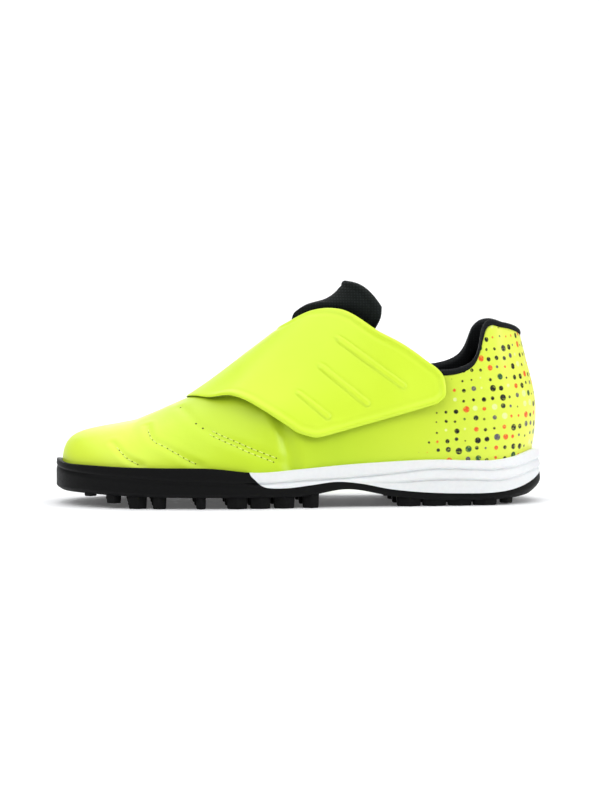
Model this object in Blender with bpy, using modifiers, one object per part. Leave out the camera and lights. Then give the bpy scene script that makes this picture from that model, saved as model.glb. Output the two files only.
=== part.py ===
"""A child's low turf shoe for the left foot, closed by one wide strap over the instep.

Metres, +Z up. The toe points along -X and the outer side of the foot along -Y.
The shoe stands on its lugs at z = 0, with the outline of its sole centred on the origin.
"""

import math
from collections import namedtuple

import bmesh
import bpy
from mathutils import Vector

MM = 0.001

# Driving sizes of the shoe
LENGTH = 218.7 * MM
BALL_WIDTH = 81.0 * MM
INSTEP_HEIGHT = 82.0 * MM
HEEL_HEIGHT = 81.0 * MM

# Thicknesses and clearances
WALL = 1.8 * MM
GAP = 0.3 * MM
INSOLE_THICK = 3.0 * MM
STRAP_THICK = 1.9 * MM
STRAP_CLEAR = 0.45 * MM

# Fineness of the solids: steps between two sections, steps up the wall, columns across strap and tongue
STEPS = 3
RISES = 9
STRAP_COLUMNS = 12
TONGUE_COLUMNS = 12
TONGUE_STEPS = 2
SMOOTH_ANGLE = math.radians(35.0)

# Lean of the ridge to the inner side at the toe, and where it ends and starts, hundredths of the length
TOE_LEAN = 3.0 * MM
LEAN_END = 55.0
LEAN_START = 25.0

# Sections of the last from the toe tip to the back of the heel.
# centre, at: hundredths of the length, where the section meets the ridge and the feather edge.
# outer, inner: feather edge, hundredths of the ball width, from the shoe's axis (outer side negative).
# floor: height of the feather edge in mm. belly: swell of the wall outside the feather edge in mm.
# belly_up, shoulder, shoulder_up: shares of the section's height, half width and height again.
# ridge: hundredths of the instep height. top_outer, top_inner: topline, hundredths of the heel height.
# throat: half width of the throat in mm.
Section = namedtuple(
    "Section",
    "name centre at outer inner floor belly belly_up shoulder shoulder_up ridge top_outer top_inner throat",
)
SECTIONS = [
    Section("toe tip", 17.1, 1.4, 4.9, 4.9, 14.0, 1.0, 0.88, 0.76, 0.76, 45.4, 120, 120, 0),
    Section("toe front", 17.1, 3.1, -13.6, 22.2, 12.6, 0.9, 0.84, 0.75, 0.78, 45.4, 120, 120, 0),
    Section("toe corner", 17.1, 7.7, -28.4, 33.3, 11.4, 1.0, 0.71, 0.71, 0.86, 45.4, 120, 120, 0),
    Section("toe side", 17.1, 13.9, -38.3, 40.7, 10.7, 1.2, 0.60, 0.66, 0.96, 45.4, 120, 120, 0),
    Section("ball front", 22.6, 21.7, -43.8, 44.8, 10.4, 1.3, 0.50, 0.62, 1.0, 51.8, 120, 120, 0),
    Section("ball", 30.8, 30.8, -46.6, 46.3, 10.4, 1.4, 0.42, 0.56, 1.0, 62.3, 120, 120, 0),
    Section("ball back", 39.9, 39.9, -46.3, 42.0, 10.6, 1.4, 0.36, 0.50, 1.0, 79.8, 122, 122, 8),
    Section("vamp", 49.1, 49.1, -43.5, 36.4, 11.6, 1.5, 0.32, 0.47, 1.0, 98.0, 118, 118, 11.5),
    Section("waist", 58.2, 58.2, -40.2, 32.1, 13.6, 1.6, 0.29, 0.50, 1.0, 115.0, 97.5, 97.5, 15),
    Section("ankle front", 67.4, 67.4, -37.8, 30.9, 15.0, 1.9, 0.25, 0.56, 0.90, 138.0, 82.0, 82.0, 20),
    Section("ankle", 75.6, 75.6, -36.3, 32.1, 15.6, 2.5, 0.20, 0.64, 0.60, 163.0, 73.2, 74.2, 20),
    Section("heel side", 83.8, 83.8, -34.8, 32.8, 16.0, 3.2, 0.17, 0.82, 0.45, 189.0, 77.4, 79.0, 20),
    Section("heel flank", 83.8, 88.0, -32.4, 30.9, 16.2, 3.8, 0.16, 0.89, 0.40, 200.0, 98.5, 98.0, 20),
    Section("heel corner", 83.8, 91.8, -27.6, 26.4, 16.4, 4.6, 0.155, 0.93, 0.38, 207.0, 98.0, 97.5, 20),
    Section("heel turn", 83.8, 95.6, -15.6, 15.0, 16.8, 6.6, 0.15, 0.93, 0.36, 207.0, 93.0, 93.0, 20),
    Section("heel back", 83.8, 97.1, 0.0, 0.0, 17.0, 8.0, 0.15, 0.92, 0.36, 207.0, 91.0, 91.0, 20),
]

# Side of the sole at the same sections, in mm.
# rim, bottom: heights of the cup's edge and of the underside. margin: sole outside the feather edge.
# cut_in, cut_up: chamfer of the lower edge. rib_low, rib_high: heights of the two steps of the side.
Side = namedtuple("Side", "rim bottom margin cut_in cut_up rib_low rib_high")
SIDES = [
    Side(19.8, 6.2, 2.7, 2.4, 2.2, 13.9, 16.8),
    Side(18.6, 6.2, 3.1, 2.2, 2.0, 13.1, 15.8),
    Side(18.4, 6.0, 3.2, 2.0, 2.0, 12.0, 14.8),
    Side(18.0, 5.6, 3.0, 1.5, 1.8, 11.0, 14.0),
    Side(17.8, 5.1, 2.8, 1.2, 1.5, 10.0, 13.0),
    Side(17.6, 5.0, 2.6, 1.2, 1.5, 9.8, 12.8),
    Side(17.4, 5.0, 2.6, 1.2, 1.5, 9.8, 12.9),
    Side(17.4, 5.2, 2.8, 1.2, 1.5, 11.0, 14.0),
    Side(18.7, 8.0, 3.0, 1.2, 1.2, 12.9, 15.2),
    Side(19.8, 4.6, 3.2, 1.2, 1.5, 11.6, 15.4),
    Side(20.4, 2.8, 3.4, 1.2, 1.5, 11.6, 16.4),
    Side(19.9, 2.6, 3.6, 1.2, 1.5, 11.8, 16.0),
    Side(19.9, 2.6, 4.0, 1.5, 1.8, 11.6, 15.8),
    Side(21.2, 3.0, 4.3, 2.0, 2.4, 12.0, 16.2),
    Side(23.6, 3.8, 5.0, 3.4, 4.2, 13.6, 17.8),
    Side(23.4, 4.4, 5.9, 4.6, 6.0, 14.8, 18.6),
]

# Line where the white midsole meets the black outsole, hundredths of the length and mm above the floor
Split = namedtuple("Split", "at height")
SPLIT = [
    Split(37.2, 30.0),
    Split(37.5, 17.0),
    Split(39.1, 12.6),
    Split(41.6, 9.4),
    Split(46.0, 9.0),
    Split(51.0, 10.2),
    Split(56.0, 11.4),
    Split(61.0, 10.4),
    Split(67.0, 7.8),
    Split(74.0, 6.2),
    Split(81.0, 5.6),
    Split(88.0, 5.7),
    Split(93.0, 7.2),
    Split(97.0, 10.2),
    Split(101.0, 15.0),
]

# Rows of lugs, hundredths of the length, lugs in the row, height of their feet and length of a lug in mm
LugRow = namedtuple("LugRow", "at count foot length")
LUG_ROWS = [
    LugRow(7.2, 3, 4.2, 6.0),
    LugRow(11.8, 4, 2.2, 6.0),
    LugRow(16.4, 5, 0.0, 8.4),
    LugRow(20.6, 5, 0.0, 7.0),
    LugRow(28.3, 5, 0.0, 5.0),
    LugRow(35.6, 5, 0.0, 8.4),
    LugRow(40.2, 5, 0.0, 8.4),
    LugRow(45.0, 4, 0.0, 9.0),
    LugRow(51.0, 4, 0.0, 6.6),
    LugRow(70.8, 4, 0.0, 9.6),
    LugRow(76.0, 4, 0.0, 9.6),
    LugRow(81.2, 4, 0.0, 9.6),
    LugRow(86.4, 4, 0.0, 9.6),
    LugRow(91.0, 3, 0.6, 6.6),
]
# Width of a lug, shares of it at the lug's foot and in from the sole's edge, depth of its root in the sole
LUG_WIDTH = 7.0 * MM
LUG_FOOT = 0.86
LUG_INSET = 0.46
LUG_ROOT = 1.2 * MM

# Strap from its sewn end on the inner side to its free end on the outer side.
# side: +1 inner, -1 outer. at: hundredths of the length. height: mm above the floor.
# front_lift, rear_lift: how far the edge stands off the upper, mm.
StrapRow = namedtuple("StrapRow", "side front_at front_height rear_at rear_height front_lift rear_lift")
STRAP_ROWS = [
    StrapRow(1, 36.0, 26.0, 50.5, 28.0, 0.0, 0.0),
    StrapRow(1, 31.5, 42.0, 49.5, 58.0, 0.1, 0.0),
    StrapRow(1, 27.6, 45.0, 48.5, 75.0, 0.1, 0.0),
    StrapRow(-1, 26.0, 99.0, 48.0, 99.0, 0.1, 0.2),
    StrapRow(-1, 30.5, 46.5, 53.5, 84.0, 1.0, 0.2),
    StrapRow(-1, 36.0, 48.0, 59.0, 85.5, 1.8, 0.2),
    StrapRow(-1, 41.5, 44.5, 66.0, 76.8, 2.0, 0.3),
    StrapRow(-1, 45.7, 38.0, 74.0, 63.8, 1.2, 0.6),
    StrapRow(-1, 48.0, 34.8, 77.4, 57.5, 0.8, 0.8),
    StrapRow(-1, 50.0, 32.4, 78.0, 52.5, 0.8, 1.0),
    StrapRow(-1, 52.0, 31.0, 77.1, 48.6, 0.8, 1.0),
    StrapRow(-1, 54.8, 31.0, 74.9, 45.6, 0.8, 1.0),
]

# Tongue from its root under the vamp to its top lip.
# at: hundredths of the length. sweep: how far the wings run back, same unit.
# spread: wing's share of the way down the side.
# swell: mm that the pad stands out behind the strap. thick: mm.
TongueRow = namedtuple("TongueRow", "at sweep spread swell thick")
TONGUE_ROWS = [
    TongueRow(33.0, 0.0, 0.16, 0.0, 1.9),
    TongueRow(38.5, 0.0, 0.25, 0.0, 2.2),
    TongueRow(44.0, 0.3, 0.30, 0.0, 2.8),
    TongueRow(48.5, 1.4, 0.31, 4.0, 3.6),
    TongueRow(52.0, 3.0, 0.34, 4.8, 5.0),
    TongueRow(55.5, 5.0, 0.37, 3.8, 5.0),
    TongueRow(58.0, 6.4, 0.39, 3.4, 5.4),
    TongueRow(59.0, 6.8, 0.40, 4.6, 6.4),
    TongueRow(60.2, 7.2, 0.40, 4.0, 6.0),
]

# Cross-section of the padded collar: out from the upper's face and up from its edge, mm
CuffPoint = namedtuple("CuffPoint", "out up")
CUFF = [
    CuffPoint(-0.1, 0.5),
    CuffPoint(0.1, 1.0),
    CuffPoint(-0.7, 1.5),
    CuffPoint(-2.6, 1.7),
    CuffPoint(-4.6, 1.1),
    CuffPoint(-5.5, -0.6),
    CuffPoint(-5.5, -6.0),
    CuffPoint(-4.6, -12.0),
    CuffPoint(-2.5, -12.4),
    CuffPoint(-2.5, -6.0),
    CuffPoint(-2.4, 0.5),
]
CUFF_START = 60.0

PART = "turf_shoe"
HEEL = len(SECTIONS) - 1
AROUND = 2 * HEEL


# Smooth curves through the tables


def along(share):
    return (share / 100.0 - 0.5) * LENGTH


def cubic(p0, p1, p2, p3, t):
    """Catmull-Rom value between p1 and p2."""
    a = 2 * p1
    b = p2 - p0
    c = 2 * p0 - 5 * p1 + 4 * p2 - p3
    d = 3 * p1 - p0 - 3 * p2 + p3
    return 0.5 * (a + t * (b + t * (c + t * d)))


def round_value(values, s):
    """Value of a closed row of numbers at the station s."""
    n = len(values)
    i = math.floor(s)
    return cubic(*(values[(i + k) % n] for k in (-1, 0, 1, 2)), s - i)


def open_value(values, r):
    """Value of an open row of numbers at r."""
    last = len(values) - 1
    i = min(max(math.floor(r), 0), last - 1)
    return cubic(*(values[min(max(i + k, 0), last)] for k in (-1, 0, 1, 2)), r - i)


def column(rows, name):
    return [getattr(row, name) for row in rows]


def loop_of(outer, inner):
    """Column for the way round the shoe: toe, outer side, heel, inner side."""
    return outer + inner[-2:0:-1]


def loop(rows, name):
    return loop_of(column(rows, name), column(rows, name))


COLUMNS = {name: loop(SECTIONS, name) for name in Section._fields if name != "name"}
COLUMNS["across"] = loop_of(column(SECTIONS, "outer"), column(SECTIONS, "inner"))
COLUMNS["top"] = loop_of(column(SECTIONS, "top_outer"), column(SECTIONS, "top_inner"))
COLUMNS.update({name: loop(SIDES, name) for name in Side._fields})


def at(name, s):
    return round_value(COLUMNS[name], s)


# Form of the last


def feather(s):
    """Edge where the upper meets the sole, seen from above."""
    return Vector((along(at("at", s)), at("across", s) / 100.0 * BALL_WIDTH, 0.0))


def ridge_y(s):
    """The ridge leans to the inner side at the toe."""
    lean = (LEAN_END - at("centre", s)) / (LEAN_END - LEAN_START)
    return TOE_LEAN * min(max(lean, 0.0), 1.0)


def form(s, v):
    """Point of the last's surface: v runs up from the feather edge to the ridge."""
    edge = feather(s)
    centre = Vector((along(at("centre", s)), ridge_y(s), 0.0))
    reach = (edge - centre).length
    floor = at("floor", s) * MM
    height = at("ridge", s) / 100.0 * INSTEP_HEIGHT - floor
    shares = (1.0, 1.0 + at("belly", s) * MM / max(reach, MM), at("shoulder", s), 0.0)
    heights = (0.0, at("belly_up", s), at("shoulder_up", s), 1.0)
    weights = ((1 - v) ** 3, 3 * v * (1 - v) ** 2, 3 * v * v * (1 - v), v**3)
    share = sum(w * p for w, p in zip(weights, shares))
    rise = sum(w * p for w, p in zip(weights, heights))
    point = centre + (edge - centre) * share
    point.z = floor + height * rise
    return point


def normal(s, v):
    """Outward direction of the form."""
    v = min(v, 0.985)
    ds = form(s + 0.02, v) - form(s - 0.02, v)
    dv = form(s, v + 0.01) - form(s, max(v - 0.01, 0.0))
    return ds.cross(dv).normalized()


def lifted(s, v, lift):
    return form(s, v) + normal(s, v) * lift


def rise_to(s, height):
    """Share v at which the form reaches a height."""
    low, high = 0.0, 1.0
    for _ in range(40):
        mid = 0.5 * (low + high)
        if form(s, mid).z < height:
            low = mid
        else:
            high = mid
    return low


def throat_share(s):
    """Share v at which the form comes within the throat's half width of the ridge."""
    half = at("throat", s) * MM
    if half <= 0.3 * MM:
        return 1.0
    centre = Vector((along(at("centre", s)), ridge_y(s), 0.0))
    low, high = 0.4, 1.0
    for _ in range(40):
        mid = 0.5 * (low + high)
        point = form(s, mid)
        point.z = 0.0
        if (point - centre).length > half:
            low = mid
        else:
            high = mid
    return low


def topline_share(s):
    """Share v where the upper ends: at the topline or beside the throat."""
    return min(rise_to(s, at("top", s) / 100.0 * HEEL_HEIGHT), throat_share(s))


def outward(s):
    """Level direction straight out of the feather edge."""
    step = feather(s + 0.03) - feather(s - 0.03)
    return Vector((step.y, -step.x, 0.0)).normalized()


def wall_point(s, height, out):
    """Point of the upper's outer face at a height, moved level outwards."""
    point = form(s, rise_to(s, height)) + outward(s) * out
    point.z = height
    return point


def station(share):
    """Station of the outer side whose section crosses the ridge at this share of the length."""
    low, high = 4.0, 11.0
    for _ in range(40):
        mid = 0.5 * (low + high)
        if at("centre", mid) < share:
            low = mid
        else:
            high = mid
    return low


def across_form(share, q, lift):
    """Point at q = 0 outer feather edge, 1 ridge, 2 inner feather edge."""
    s = station(share)
    if q <= 1.0:
        return lifted(s, q, lift)
    return lifted(AROUND - s, 2.0 - q, lift)


STATIONS = [i / STEPS for i in range(AROUND * STEPS)]


# Meshes and materials


def material(name, hex_colour, roughness):
    made = bpy.data.materials.new(name)
    made.use_nodes = True
    shader = made.node_tree.nodes["Principled BSDF"]
    parts = [int(hex_colour[i:i + 2], 16) / 255.0 for i in (0, 2, 4)]
    linear = [c / 12.92 if c <= 0.04045 else ((c + 0.055) / 1.055) ** 2.4 for c in parts]
    shader.inputs["Base Color"].default_value = (*linear, 1.0)
    shader.inputs["Roughness"].default_value = roughness
    made.diffuse_color = (*linear, 1.0)
    return made


def new_collection(name):
    made = bpy.data.collections.new(name)
    bpy.context.scene.collection.children.link(made)
    return made


def new_object(name, bm, collection, surface=None):
    bmesh.ops.recalc_face_normals(bm, faces=bm.faces)
    mesh = bpy.data.meshes.new(name)
    bm.to_mesh(mesh)
    bm.free()
    mesh.shade_smooth()
    mesh.set_sharp_from_angle(angle=SMOOTH_ANGLE)
    if surface:
        mesh.materials.append(surface)
    made = bpy.data.objects.new(name, mesh)
    collection.objects.link(made)
    return made


def skin(bm, rings, closed):
    """Quads between neighbouring rings of vertices."""
    count = len(rings[0])
    for a, b in zip(rings, rings[1:]):
        for i in range(count if closed else count - 1):
            j = (i + 1) % count
            quad = []
            for vert in (a[i], a[j], b[j], b[i]):
                if vert not in quad:
                    quad.append(vert)
            if len(quad) > 2:
                bm.faces.new(quad)


def ladder(bm, ring):
    """Closes a ring round the shoe with rungs from the outer to the inner side."""
    half = len(ring) // 2
    for i in range(half):
        quad = [ring[i], ring[i + 1], ring[-i - 1], ring[-i] if i else ring[0]]
        bm.faces.new(list(dict.fromkeys(quad)))


def place(bm, points):
    return [bm.verts.new(point) for point in points]


def smooth_slab(bm, top, bottom):
    """Closed slab between two grids of points of the same size."""
    grids = [[place(bm, row) for row in grid] for grid in (top, bottom)]
    for grid in grids:
        skin(bm, grid, False)
    borders = []
    for grid in grids:
        right = [row[-1] for row in grid[1:-1]]
        left = [row[0] for row in grid[1:-1]]
        borders.append(grid[0] + right + grid[-1][::-1] + left[::-1])
    skin(bm, borders, True)


def cut(target, cutter, operation):
    step = target.modifiers.new(operation.lower(), "BOOLEAN")
    step.object = cutter
    step.operation = operation
    step.solver = "EXACT"


# Pieces of the shoe


def make_upper(collection, surface):
    bm = bmesh.new()
    ends = [topline_share(s) for s in STATIONS]
    rings = []
    for k in range(RISES + 1):
        rings.append(place(bm, [form(s, end * k / RISES) for s, end in zip(STATIONS, ends)]))
    skin(bm, rings, True)
    bmesh.ops.remove_doubles(bm, verts=bm.verts, dist=0.02 * MM)
    upper = new_object("upper", bm, collection, surface)
    shell = upper.modifiers.new("wall", "SOLIDIFY")
    shell.thickness = WALL
    shell.offset = -1.0
    return upper


def sole_block(name, collection, surface):
    """Whole sole with its cup, before the midsole and the outsole are parted."""
    bm = bmesh.new()
    rings = [[] for _ in range(9)]
    for s in STATIONS:
        edge = feather(s)
        out = outward(s)
        margin = at("margin", s)
        bottom = at("bottom", s)
        low = at("rib_low", s)
        high = at("rib_high", s)
        rim = at("rim", s)
        steps = [
            (margin - at("cut_in", s), bottom),
            (margin, bottom + at("cut_up", s)),
            (margin + 0.4, low),
            (margin - 0.3, low + 0.7),
            (margin + 0.2, high),
            (margin - 0.5, high + 0.7),
            (margin - 0.6, rim),
        ]
        for ring, (reach, height) in zip(rings, steps):
            point = edge + out * reach * MM
            point.z = height * MM
            ring.append(point)
        rings[7].append(wall_point(s, (rim - 0.4) * MM, GAP))
        rings[8].append(wall_point(s, at("floor", s) * MM, GAP) - Vector((0.0, 0.0, GAP)))
    rings = [place(bm, ring) for ring in rings]
    skin(bm, rings, True)
    ladder(bm, rings[0])
    ladder(bm, rings[-1])
    return new_object(name, bm, collection, surface)


def splitter(name, collection, raised):
    """Block under the parting line of the two soles, moved square to the line by a distance."""
    bm = bmesh.new()
    heights = column(SPLIT, "height")
    places = column(SPLIT, "at")
    count = STEPS * (len(SPLIT) - 1)
    line = []
    for i in range(count + 1):
        r = i / STEPS
        line.append(Vector((along(open_value(places, r)), open_value(heights, r) * MM)))
    profile = []
    for i, point in enumerate(line):
        step = line[min(i + 1, count)] - line[max(i - 1, 0)]
        side = Vector((-step.y, step.x)).normalized()
        profile.append(point + side * raised)
    profile.append(Vector((along(108.0), profile[-1].y)))
    profile.append(Vector((along(108.0), -20.0 * MM)))
    profile.append(Vector((along(-8.0), -20.0 * MM)))
    profile.append(Vector((along(-8.0), profile[0].y)))
    walls = []
    for y in (-0.8 * BALL_WIDTH, 0.8 * BALL_WIDTH):
        walls.append(place(bm, [(p.x, y, p.y) for p in profile]))
        bm.faces.new(walls[-1])
    skin(bm, walls, True)
    made = new_object(name, bm, collection)
    made.hide_render = True
    made.display_type = "WIRE"
    return made


def make_lugs(collection):
    """Six-sided feet in rows, a little way into the underside of the outsole."""
    bm = bmesh.new()
    for row in LUG_ROWS:
        x = along(row.at)
        s = sole_station(x, 0.0, 0.5 * AROUND)
        t = sole_station(x, float(AROUND), 0.5 * AROUND)
        y_outer = underside_edge(s).y
        y_inner = underside_edge(t).y
        top = max(at("bottom", s), at("bottom", t)) * MM + LUG_ROOT
        inset = LUG_INSET * LUG_WIDTH
        for i in range(row.count):
            y = y_outer + inset + (y_inner - y_outer - 2 * inset) * i / (row.count - 1)
            made = bmesh.ops.create_cone(
                bm,
                cap_ends=True,
                segments=6,
                radius1=0.5 * LUG_WIDTH * LUG_FOOT,
                radius2=0.5 * LUG_WIDTH,
                depth=top - row.foot * MM,
            )
            bmesh.ops.scale(bm, vec=(row.length * MM / LUG_WIDTH, 1.0, 1.0), verts=made["verts"])
            shift = Vector((x, y, 0.5 * (top + row.foot * MM)))
            bmesh.ops.translate(bm, vec=shift, verts=made["verts"])
    made = new_object("lug_blanks", bm, collection)
    made.hide_render = True
    made.display_type = "WIRE"
    return made


def underside_edge(s):
    return feather(s) + outward(s) * (at("margin", s) - at("cut_in", s)) * MM


def sole_station(x, low, high):
    """Station at which the edge of the underside lies at x."""
    for _ in range(40):
        mid = 0.5 * (low + high)
        if underside_edge(mid).x < x:
            low = mid
        else:
            high = mid
    return low


def make_insole(collection, surface):
    bm = bmesh.new()
    rings = []
    for up, extra in ((0.0, 0.3), (0.8, 0.0), (INSOLE_THICK / MM, 0.1)):
        ring = []
        for s in STATIONS:
            ring.append(wall_point(s, (at("floor", s) + up) * MM, -WALL - 2 * GAP - extra * MM))
        rings.append(place(bm, ring))
    skin(bm, rings, True)
    ladder(bm, rings[0])
    ladder(bm, rings[-1])
    return new_object("insole", bm, collection, surface)


def strap_share(row, share, height):
    """Way across the form of a strap point given by its height."""
    s = station(share)
    if row.side < 0:
        return rise_to(s, height * MM)
    return 2.0 - rise_to(AROUND - s, height * MM)


def strap_rear(q):
    """Place of the strap's rear edge, hundredths of the length, at a way across the form."""
    edge = [(strap_share(row, row.rear_at, row.rear_height), row.rear_at) for row in STRAP_ROWS[:8]]
    edge.sort()
    for (q0, at0), (q1, at1) in zip(edge, edge[1:]):
        if q <= q1:
            return at0 + (at1 - at0) * max(q - q0, 0.0) / (q1 - q0)
    return edge[-1][1]


def bare(share, q):
    """How clear a point of the tongue lies of the strap and of the upper's edge, 0 to 1."""
    s = station(share)
    past_strap = (share - strap_rear(q) - 0.3) / 2.5
    edge = topline_share(s if q <= 1.0 else AROUND - s)
    past_edge = (min(q, 2.0 - q) - edge - 0.06) / 0.06
    free = min(max(min(past_strap, past_edge), 0.0), 1.0)
    return free * (2.0 - free)


def make_strap(collection, surface):
    front_q = [strap_share(row, row.front_at, row.front_height) for row in STRAP_ROWS]
    rear_q = [strap_share(row, row.rear_at, row.rear_height) for row in STRAP_ROWS]
    front_at, rear_at, front_lift, rear_lift = (
        column(STRAP_ROWS, name) for name in ("front_at", "rear_at", "front_lift", "rear_lift")
    )
    bottom = []
    top = []
    for i in range(STEPS * (len(STRAP_ROWS) - 1) + 1):
        r = i / STEPS
        low = []
        high = []
        for j in range(STRAP_COLUMNS + 1):
            w = j / STRAP_COLUMNS
            share = open_value(front_at, r) * (1 - w) + open_value(rear_at, r) * w
            q = open_value(front_q, r) * (1 - w) + open_value(rear_q, r) * w
            lift = open_value(front_lift, r) * (1 - w) ** 3 + open_value(rear_lift, r) * w**3
            base = lift * MM + STRAP_CLEAR
            edge = 1.0 - 0.4 * (2.0 * w - 1.0) ** 8
            low.append(across_form(share, q, base))
            high.append(across_form(share, q, base + STRAP_THICK * edge))
        bottom.append(low)
        top.append(high)
    bm = bmesh.new()
    smooth_slab(bm, top, bottom)
    return new_object("strap", bm, collection, surface)


def make_tongue(collection, surface):
    bottom = []
    top = []
    names = ("at", "sweep", "spread", "swell", "thick")
    tables = [column(TONGUE_ROWS, name) for name in names]
    for i in range(TONGUE_STEPS * (len(TONGUE_ROWS) - 1) + 1):
        r = i / TONGUE_STEPS
        place_at, sweep, spread, swell, thick = (open_value(table, r) for table in tables)
        low = []
        high = []
        for j in range(TONGUE_COLUMNS + 1):
            a = 2.0 * j / TONGUE_COLUMNS - 1.0
            share = place_at + sweep * a * a
            q = 1.0 + spread * a
            edge = 1.0 - 0.45 * a**6
            lift = -WALL - 1.5 * GAP + swell * bare(share, q) * MM
            high.append(across_form(share, q, lift))
            low.append(across_form(share, q, lift - thick * edge * MM))
        bottom.append(low)
        top.append(high)
    bm = bmesh.new()
    smooth_slab(bm, top, bottom)
    return new_object("tongue", bm, collection, surface)


def make_collar(collection, surface):
    bm = bmesh.new()
    first = math.ceil(station(CUFF_START) * STEPS)
    rings = []
    for i in range(first, AROUND * STEPS - first + 1):
        s = i / STEPS
        end = topline_share(s)
        climb = (form(s, end + 0.01) - form(s, end - 0.01)).length / 0.02
        ring = []
        for point in CUFF:
            ring.append(lifted(s, end + point.up * MM / climb, point.out * MM))
        rings.append(place(bm, ring))
    skin(bm, rings, True)
    bm.faces.new(rings[0])
    bm.faces.new(rings[-1])
    return new_object("collar", bm, collection, surface)


def main():
    for old in list(bpy.data.objects):
        bpy.data.objects.remove(old, do_unlink=True)
    parts = new_collection(PART)
    cutters = new_collection("cutters")
    make_upper(parts, material("upper_synthetic", "D9F53A", 0.45))
    outsole = sole_block("outsole", parts, material("outsole_rubber", "17181B", 0.6))
    midsole = sole_block("midsole", parts, material("midsole_foam", "F1F2F4", 0.55))
    cut(outsole, splitter("parting_low", cutters, 0.0), "INTERSECT")
    cut(outsole, make_lugs(cutters), "UNION")
    cut(midsole, splitter("parting_high", cutters, GAP), "DIFFERENCE")
    make_insole(parts, material("insole_sock", "2A2C2F", 0.9))
    make_strap(parts, material("strap_synthetic", "DDF83E", 0.42))
    make_tongue(parts, material("tongue_textile", "1D2022", 0.85))
    make_collar(parts, material("collar_textile", "1B1E20", 0.88))


main()
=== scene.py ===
# %% [markdown]
# # A child's turf shoe, dressed for its picture
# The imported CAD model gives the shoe's solids in their true sizes. This lesson puts the looks on
# them: a finer skin over each solid, seams and threads, padded cloth, rubber and foam, and then
# light and a camera. We start by loading the frame, because every piece below rides on it.

# %% Load the frame
import math
from collections import namedtuple

import bmesh
import bpy
import numpy as np
from mathutils import Matrix, Vector, noise
from mathutils.bvhtree import BVHTree


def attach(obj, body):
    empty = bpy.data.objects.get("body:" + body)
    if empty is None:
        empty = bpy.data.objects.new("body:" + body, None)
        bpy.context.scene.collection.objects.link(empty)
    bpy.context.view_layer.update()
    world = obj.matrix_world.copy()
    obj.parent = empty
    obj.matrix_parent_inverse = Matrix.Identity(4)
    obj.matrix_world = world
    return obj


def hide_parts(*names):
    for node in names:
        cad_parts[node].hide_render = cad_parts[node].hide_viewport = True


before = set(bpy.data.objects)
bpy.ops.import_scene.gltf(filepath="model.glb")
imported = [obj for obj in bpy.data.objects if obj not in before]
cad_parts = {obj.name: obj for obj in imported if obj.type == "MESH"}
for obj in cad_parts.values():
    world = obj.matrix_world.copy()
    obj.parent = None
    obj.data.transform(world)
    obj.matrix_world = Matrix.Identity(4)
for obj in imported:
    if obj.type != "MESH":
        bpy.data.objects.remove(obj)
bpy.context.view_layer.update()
MM = 0.001

# %% [markdown]
# ## The camera
# The shoe was photographed from its outer side, from slightly above the floor and a little towards
# the toe. A long lens keeps the sides almost parallel, as product pictures do. The lens could be
# set by eye, but here it follows from the size of one pixel of the picture at the shoe.

# %% Camera
AIM = Vector((0.0, 0.0, 45.4 * MM))
AZIMUTH = -5.0
ELEVATION = 3.0
DISTANCE = 1.2
PICTURE_WIDTH = 600
PIXEL = 0.4488 * MM


def around_aim(azimuth, elevation, distance):
    """Point round the aim: degrees from the shoe's outer side, degrees up, and a distance."""
    azimuth, elevation = math.radians(azimuth), math.radians(elevation)
    level = math.cos(elevation)
    way = Vector((math.sin(azimuth) * level, -math.cos(azimuth) * level, math.sin(elevation)))
    return AIM + way * distance


def hang(name, data, spot, aim):
    """Puts a camera or a lamp at a spot and turns it to an aim."""
    made = bpy.data.objects.new(name, data)
    made.location = spot
    made.rotation_euler = (aim - spot).to_track_quat("-Z", "Y").to_euler()
    bpy.context.scene.collection.objects.link(made)
    return made


lens = bpy.data.cameras.new("camera")
lens.sensor_fit = "HORIZONTAL"
lens.lens = lens.sensor_width * DISTANCE / (PICTURE_WIDTH * PIXEL)
camera_spot = around_aim(AZIMUTH, ELEVATION, DISTANCE)
bpy.context.scene.camera = hang("camera", lens, camera_spot, AIM)
print("lens:", round(lens.lens, 1), "mm")

# %% [markdown]
# ## Colours and nodes
# Paint and dye colours are written as sRGB hex values, the way a colour picker shows them. The
# renderer counts in linear light, so one function turns them. A second small function adds any
# shader node. Each material could link its nodes one by one, but every surface here needs the same
# three things, tone, gloss and skin, so one more function dresses them all.

# %% Colour and node helpers
# sockets of a Mix node for colours: its factor, its two colours and its result
MIX, DEEP, LIGHT, MIXED = 0, 6, 7, 2


def colour(hex_value):
    """sRGB hex value as linear red, green, blue and a full alpha."""
    parts = [int(hex_value[i:i + 2], 16) / 255.0 for i in (0, 2, 4)]
    linear = [c / 12.92 if c <= 0.04045 else ((c + 0.055) / 1.055) ** 2.4 for c in parts]
    return (*linear, 1.0)


def add(tree, kind, inputs=None, feeds=None, stops=(), **settings):
    """Adds a node and gives its outputs. An input is a value or an output, feeds says which sockets
    its own outputs go to, and stops are the places and hex colours of a ramp, the first at 0."""
    made = tree.nodes.new("ShaderNode" + kind)
    for name, value in settings.items():
        setattr(made, name, value)
    for name, value in (inputs or {}).items():
        if isinstance(value, bpy.types.NodeSocket):
            tree.links.new(value, made.inputs[name])
        else:
            made.inputs[name].default_value = value
    for name, socket in (feeds or {}).items():
        tree.links.new(made.outputs[name], socket)
    if stops:
        bar = made.color_ramp.elements
        bar.remove(bar[-1])
        bar[0].color = colour(stops[0][1])
        for spot, hex_value in stops[1:]:
            bar.new(spot).color = colour(hex_value)
    return made.outputs


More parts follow.
